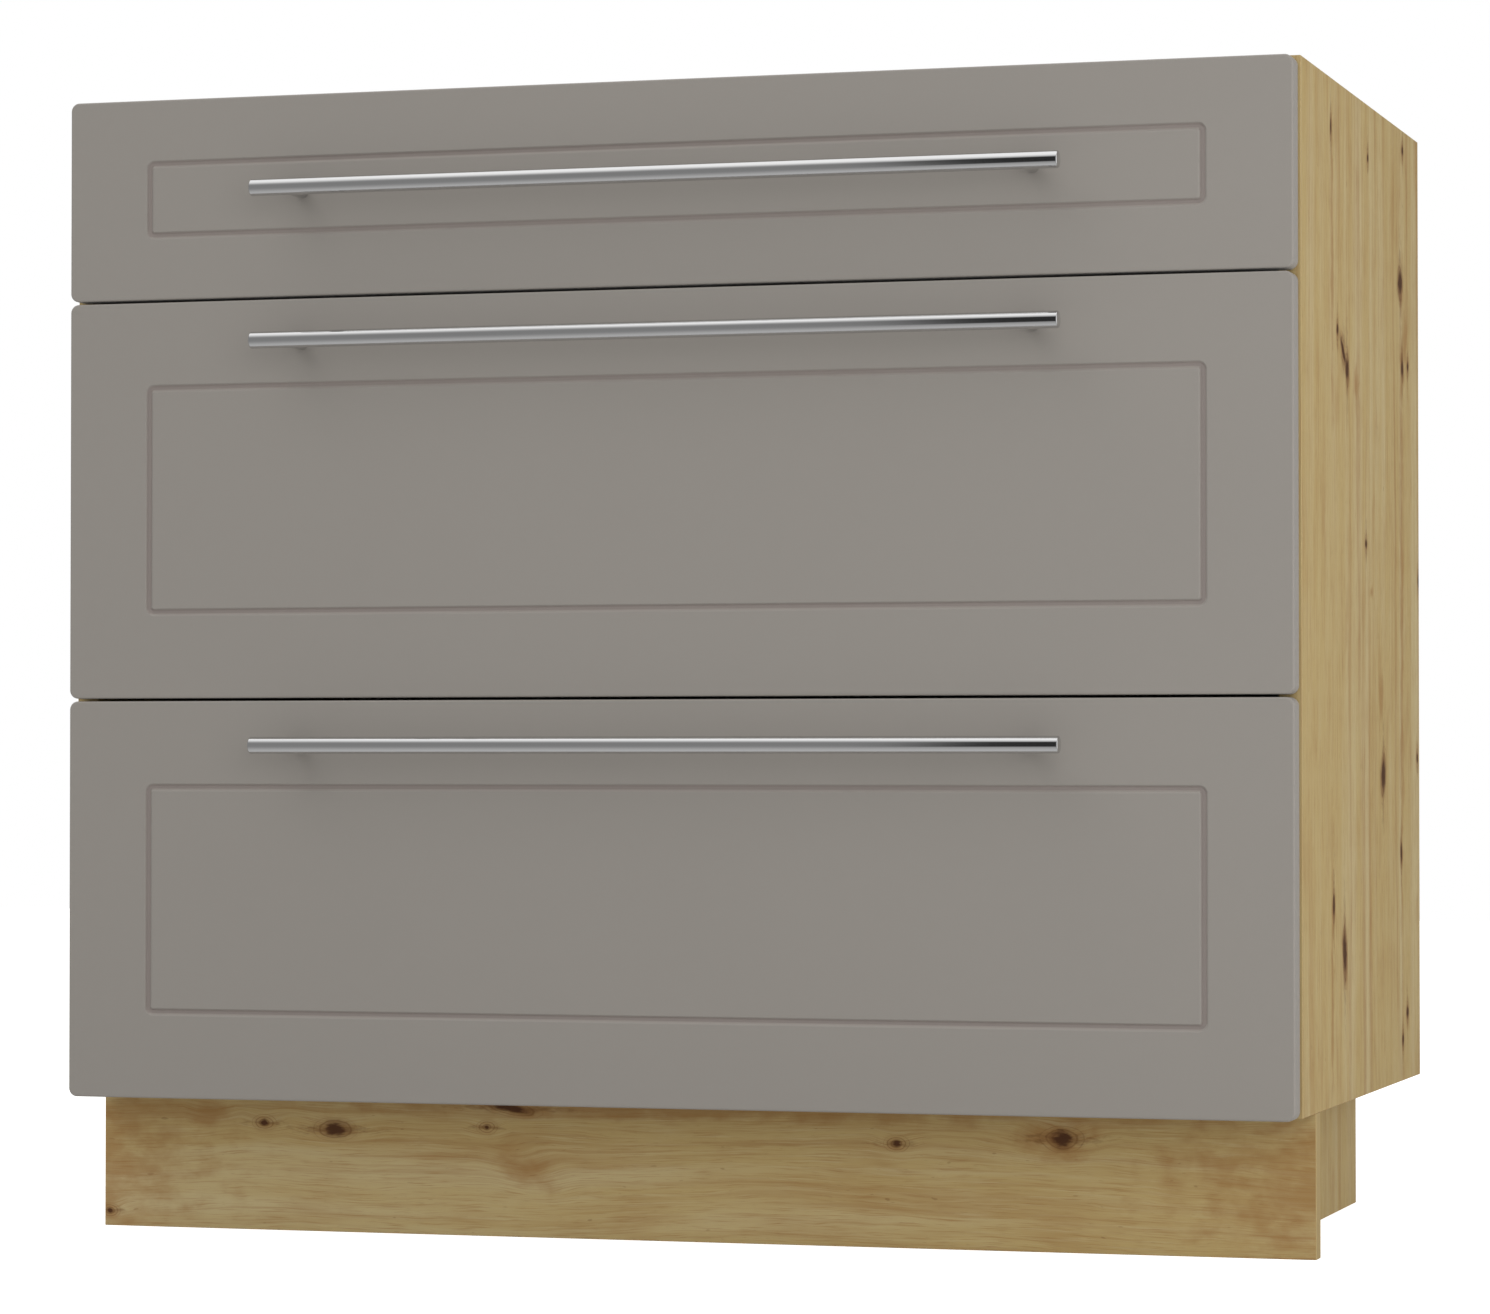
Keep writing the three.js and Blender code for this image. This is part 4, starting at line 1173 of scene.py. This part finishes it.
class CABINET_OT_handles(CabinetOperator, bpy.types.Operator):
    """Turns the chromed bars and the posts that carry them"""

    bl_idname = "cabinet.handles"
    bl_label = "Handles"

    def execute(self, context):
        handles = context.scene.cabinet.handles
        chrome = finish(chrome_plate)
        for drawer in DRAWERS:
            body = f"{drawer}_drawer"
            low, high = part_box(f"{drawer}_handle_bar")
            radius, axis = (high.z - low.z) / 2, (low + high) / 2
            chamfer, span = handles.bar_chamfer, high.x - low.x
            bm = bmesh.new()
            # The third point lies outside the straight chamfer and rounds it.
            cap = ((0, 0), (0, radius - chamfer), (0.3 * chamfer, radius - 0.3 * chamfer), (chamfer, radius))
            profile = (*cap, *((span - along, out) for along, out in reversed(cap)))
            start = Vector((low.x, axis.y, axis.z))
            turned(bm, profile, start, Matrix.Rotation(QUARTER, 3, "Y"), ROUND_STEPS)
            show(f"{drawer}_bar", finished_mesh(f"{drawer}_bar", bm, [chrome]), body, "polished_chrome",
                 f"{drawer}_handle_bar")
            for side in SIDES:
                self.post(drawer, side, body, axis, radius, handles.post_chamfer, chrome)
        return {"FINISHED"}

    @staticmethod
    def post(drawer, side, body, bar_axis, bar_radius, chamfer, chrome):
        """A round post from the front's face to the bar, hollowed at its end to sit on the bar."""
        low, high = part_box(f"{drawer}_handle_post_{side}")
        radius = (high.x - low.x) / 2
        foot = Vector(((low.x + high.x) / 2, high.y, bar_axis.z))
        reach = foot.y - bar_axis.y

        def onto_bar(point):
            depth = math.sqrt(bar_radius ** 2 - (point.z - bar_axis.z) ** 2)
            return Vector((point.x, bar_axis.y + depth, point.z))

        bm = bmesh.new()
        profile = ((0, 0), (0, radius - chamfer), (chamfer, radius), (reach / 2, radius), (reach, radius),
                   (reach, 0))
        turned(bm, profile, foot, Matrix.Rotation(QUARTER, 3, "X"), ROUND_STEPS, onto_bar)
        name = f"{drawer}_{side}_post"
        show(name, finished_mesh(name, bm, [chrome]), body, "polished_chrome",
             f"{drawer}_handle_post_{side}")


class CABINET_OT_boxes(CabinetOperator, bpy.types.Operator):
    """Faces the boards of the drawer boxes"""

    bl_idname = "cabinet.boxes"
    bl_label = "Drawer boxes"

    def execute(self, context):
        white = [finish(white_melamine, "white_melamine_board", 0.45),
                 finish(white_melamine, "white_edging", 0.38), finish(chipboard_core)]
        for drawer in DRAWERS:
            body = f"{drawer}_drawer"
            for side in SIDES:
                faced_board(f"{drawer}_box_side_{side}", body, "white_board", white, 0,
                            ((2, 1), (1, 1), (1, -1)))
            for end in ("front", "back"):
                faced_board(f"{drawer}_box_{end}", body, "white_board", white, 1, ((2, 1),))
            thin_sheet(f"{drawer}_box_bottom", body, "white_hardboard", 2, 1)
        return {"FINISHED"}


class CABINET_OT_slides(CabinetOperator, bpy.types.Operator):
    """Finishes the rolled members of the slides, and adds their balls and cages"""

    bl_idname = "cabinet.slides"
    bl_label = "Slides"

    def execute(self, context):
        hardware = context.scene.cabinet.hardware
        zinc = finish(bright_zinc, "bright_zinc_plated_steel", 0.3)
        rows = {"carcass": [], "runners": {}}
        for drawer in DRAWERS:
            for side in SIDES:
                stem = f"{drawer}_slide_{side}_"
                runner = f"{drawer}_{side}_runner"
                carriers = (("cabinet", "carcass"), ("intermediate", runner), ("drawer", f"{drawer}_drawer"))
                for member, body in carriers:
                    node = f"{stem}{member}_member"
                    mesh = finished_mesh(f"{node}_rolled", eased_copy(node, hardware.member_ease), [zinc])
                    show(f"{node}_rolled", mesh, body, "zinc_steel", node)
                rows["carcass"] += self.rows(hardware, stem, "cabinet", "intermediate")
                rows["runners"][runner] = self.rows(hardware, stem, "intermediate", "drawer")
        self.bearings(hardware, "cabinet_bearing", "carcass", rows["carcass"])
        for runner, lines in rows["runners"].items():
            self.bearings(hardware, f"{runner}_bearing", runner, lines)
        return {"FINISHED"}

    @staticmethod
    def rows(hardware, stem, outer, inner):
        """The upper and lower ball row between two members, in the half that they always share."""
        outer_low, outer_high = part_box(f"{stem}{outer}_member")
        inner_low, inner_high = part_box(f"{stem}{inner}_member")
        middle = (outer_low + outer_high) / 2
        sideways = (max(outer_low.x, inner_low.x) + min(outer_high.x, inner_high.x)) / 2
        half = (outer_high.z - outer_low.z) / 2 - hardware.sheet
        up = (half + (inner_high.z - inner_low.z) / 2) / 2
        start, end = outer_low.y + 2 * hardware.ball_pitch, middle.y - 2 * hardware.ball_pitch
        return [((sideways, start, z), (sideways, end, z)) for z in (middle.z + up, middle.z - up)]

    @staticmethod
    def bearings(hardware, name, body, lines):
        """The balls and the cages of some rows."""
        steel = finish(bright_zinc, "ground_bearing_steel", 0.12)
        sheet = finish(bright_zinc, "pressed_cage_steel", 0.35)
        balls = grown(f"{name}_balls", lines_mesh(name, lines), finish(ball_row_tree), titled(
            diameter=hardware.ball, pitch=hardware.ball_pitch, material=steel))
        show(f"{name}_balls", remade(balls, steel), body, "zinc_steel")
        longer = [((x, y - hardware.ball_pitch, z), (x, end + hardware.ball_pitch, z))
                  for (x, y, z), (_, end, _) in lines]
        cages = grown(f"{name}_cages", lines_mesh(name, longer), finish(ball_cage_tree), titled(
            width=hardware.cage_width, thickness=hardware.cage_sheet, material=sheet))
        show(f"{name}_cages", remade(cages, sheet), body, "zinc_steel")


class CABINET_OT_screws(CabinetOperator, bpy.types.Operator):
    """Puts the screws in the slides, the fronts and the handles"""

    bl_idname = "cabinet.screws"
    bl_label = "Screws"

    def execute(self, context):
        hardware = context.scene.cabinet.hardware
        zinc = finish(bright_zinc, "zinc_plated_screws", 0.25)
        slide_screw = {"head_diameter": hardware.slide_head, "crown": 0.3, "recess_size": 4 * MM,
                       "shank_length": 10 * MM}
        in_cabinet = []
        for drawer in DRAWERS:
            in_drawer = []
            for side in SIDES:
                low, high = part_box(f"{drawer}_slide_{side}_cabinet_member")
                drawer_low, drawer_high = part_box(f"{drawer}_slide_{side}_drawer_member")
                inwards = 1 if side == "left" else -1
                wall, box_wall = (low.x, drawer_high.x) if side == "left" else (high.x, drawer_low.x)
                sheet, middle = inwards * hardware.sheet, (low + high) / 2
                for y in (low.y + hardware.hole_inset, middle.y, high.y - hardware.hole_inset):
                    in_cabinet.append(((wall + sheet, y, middle.z), (inwards, 0, 0)))
                    in_drawer.append(((box_wall - sheet, y, middle.z), (-inwards, 0, 0)))
            fasteners(f"{drawer}_slide_screws", f"{drawer}_drawer", zinc, in_drawer,
                      head_height=1.2 * MM, recess_depth=0.8 * MM, **slide_screw)
            self.front_screws(hardware, drawer, zinc)
            self.handle_screws(drawer, zinc)
        fasteners("cabinet_slide_screws", "carcass", zinc, in_cabinet,
                  head_height=0.8 * MM, recess_depth=0.5 * MM, **slide_screw)
        return {"FINISHED"}

    @staticmethod
    def front_screws(hardware, drawer, zinc):
        """Four screws through the box's front board into the milled front."""
        low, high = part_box(f"{drawer}_box_front")
        from_side, from_below, from_above = 60 * MM, 28.6 * MM, 22 * MM
        heads = [((x, high.y, z), BACKWARDS) for x in (low.x + from_side, high.x - from_side)
                 for z in (low.z + from_below, high.z - from_above)]
        fasteners(f"{drawer}_front_screws", f"{drawer}_drawer", zinc, heads,
                  head_diameter=hardware.front_head, head_height=2.2 * MM, crown=0.35,
                  recess_size=4.6 * MM, recess_depth=1.4 * MM, shank_length=25 * MM)

    @staticmethod
    def handle_screws(drawer, zinc):
        """The two machine screws of a handle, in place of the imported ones."""
        nodes = [f"{drawer}_handle_screw_{side}" for side in SIDES]
        height = 2.6 * MM
        heads = [(((low.x + high.x) / 2, high.y - height, (low.z + high.z) / 2), BACKWARDS)
                 for low, high in map(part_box, nodes)]
        low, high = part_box(nodes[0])
        screws = fasteners(
            f"{drawer}_handle_screws", f"{drawer}_drawer", zinc, heads, head_diameter=high.x - low.x,
            head_height=height, crown=0.25, recess_size=4.4 * MM, recess_depth=1.4 * MM,
            shank_length=high.y - height - low.y)
        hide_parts(*nodes)


class CABINET_OT_fittings(CabinetOperator, bpy.types.Operator):
    """Adds the cam fittings of the carcass and the bumpers behind the fronts"""

    bl_idname = "cabinet.fittings"
    bl_label = "Cams and bumpers"

    def execute(self, context):
        hardware = context.scene.cabinet.hardware
        cast_zinc = finish(bright_zinc, "die_cast_zinc", 0.4)
        clear = finish(clear_polyurethane)
        cams = []
        insets = {"bottom_panel": 60 * MM, "top_rail_front": 25 * MM, "top_rail_rear": 25 * MM}
        for node, inset in insets.items():
            low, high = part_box(node)
            cams += [((x, y, low.z), DOWN) for x in (low.x + hardware.cam_inset, high.x - hardware.cam_inset)
                     for y in (low.y + inset, high.y - inset)]
        fasteners("carcass_cams", "carcass", cast_zinc, cams, head_diameter=hardware.cam,
                  head_height=0.5 * MM, crown=0.06, recess_size=7 * MM, recess_depth=0.4 * MM,
                  shank_diameter=0.8 * hardware.cam, shank_length=8 * MM)
        side_low, side_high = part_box("side_panel_right")
        edge = (side_low.x + side_high.x) / 2
        inset = 20 * MM
        for drawer in DRAWERS:
            low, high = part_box(f"{drawer}_drawer_front")
            pads = [((x, high.y, z), BACKWARDS)
                    for x in (-edge, edge) for z in (low.z + inset, high.z - inset)]
            fasteners(f"{drawer}_bumpers", f"{drawer}_drawer", clear, pads, "white_board",
                      head_diameter=hardware.bumper, head_height=0.9 * MM, crown=0.4, cross_recess=False,
                      shank_diameter=0.5 * hardware.bumper, shank_length=0.05 * MM)
        return {"FINISHED"}


# --- Sidebar and registration ---

class CabinetSettings(bpy.types.PropertyGroup):
    """All settings of the cabinet."""

    studio: bpy.props.PointerProperty(type=StudioSettings)
    fronts: bpy.props.PointerProperty(type=FrontSettings)
    handles: bpy.props.PointerProperty(type=HandleSettings)
    boards: bpy.props.PointerProperty(type=BoardSettings)
    hardware: bpy.props.PointerProperty(type=HardwareSettings)


OPERATORS = (
    CABINET_OT_stage,
    CABINET_OT_carcass,
    CABINET_OT_plinth,
    CABINET_OT_fronts,
    CABINET_OT_handles,
    CABINET_OT_boxes,
    CABINET_OT_slides,
    CABINET_OT_screws,
    CABINET_OT_fittings,
)


class CABINET_PT_sidebar(bpy.types.Panel):
    """Lists the settings of the cabinet and the operators that build it"""

    bl_label = "Base cabinet"
    bl_idname = "CABINET_PT_sidebar"
    bl_space_type = "VIEW_3D"
    bl_region_type = "UI"
    bl_category = "Cabinet"

    def draw(self, context):
        settings = context.scene.cabinet
        for operator in OPERATORS:
            self.layout.operator(operator.bl_idname)
        for group in CabinetSettings.__annotations__:
            box = self.layout.box()
            box.label(text=group.title())
            values = getattr(settings, group)
            for key in type(values).__annotations__:
                box.prop(values, key)


CLASSES = (
    StudioSettings, FrontSettings, HandleSettings, BoardSettings, HardwareSettings, CabinetSettings,
    *OPERATORS, CABINET_PT_sidebar,
)


def register():
    for cls in CLASSES:
        bpy.utils.register_class(cls)
    bpy.types.Scene.cabinet = bpy.props.PointerProperty(type=CabinetSettings)


def unregister():
    del bpy.types.Scene.cabinet
    for cls in reversed(CLASSES):
        bpy.utils.unregister_class(cls)


def main():
    register()
    bpy.ops.cabinet.stage()
    bpy.ops.cabinet.carcass()
    bpy.ops.cabinet.plinth()
    bpy.ops.cabinet.fronts()
    bpy.ops.cabinet.handles()
    bpy.ops.cabinet.boxes()
    bpy.ops.cabinet.slides()
    bpy.ops.cabinet.screws()
    bpy.ops.cabinet.fittings()


if __name__ == "__main__":
    main()
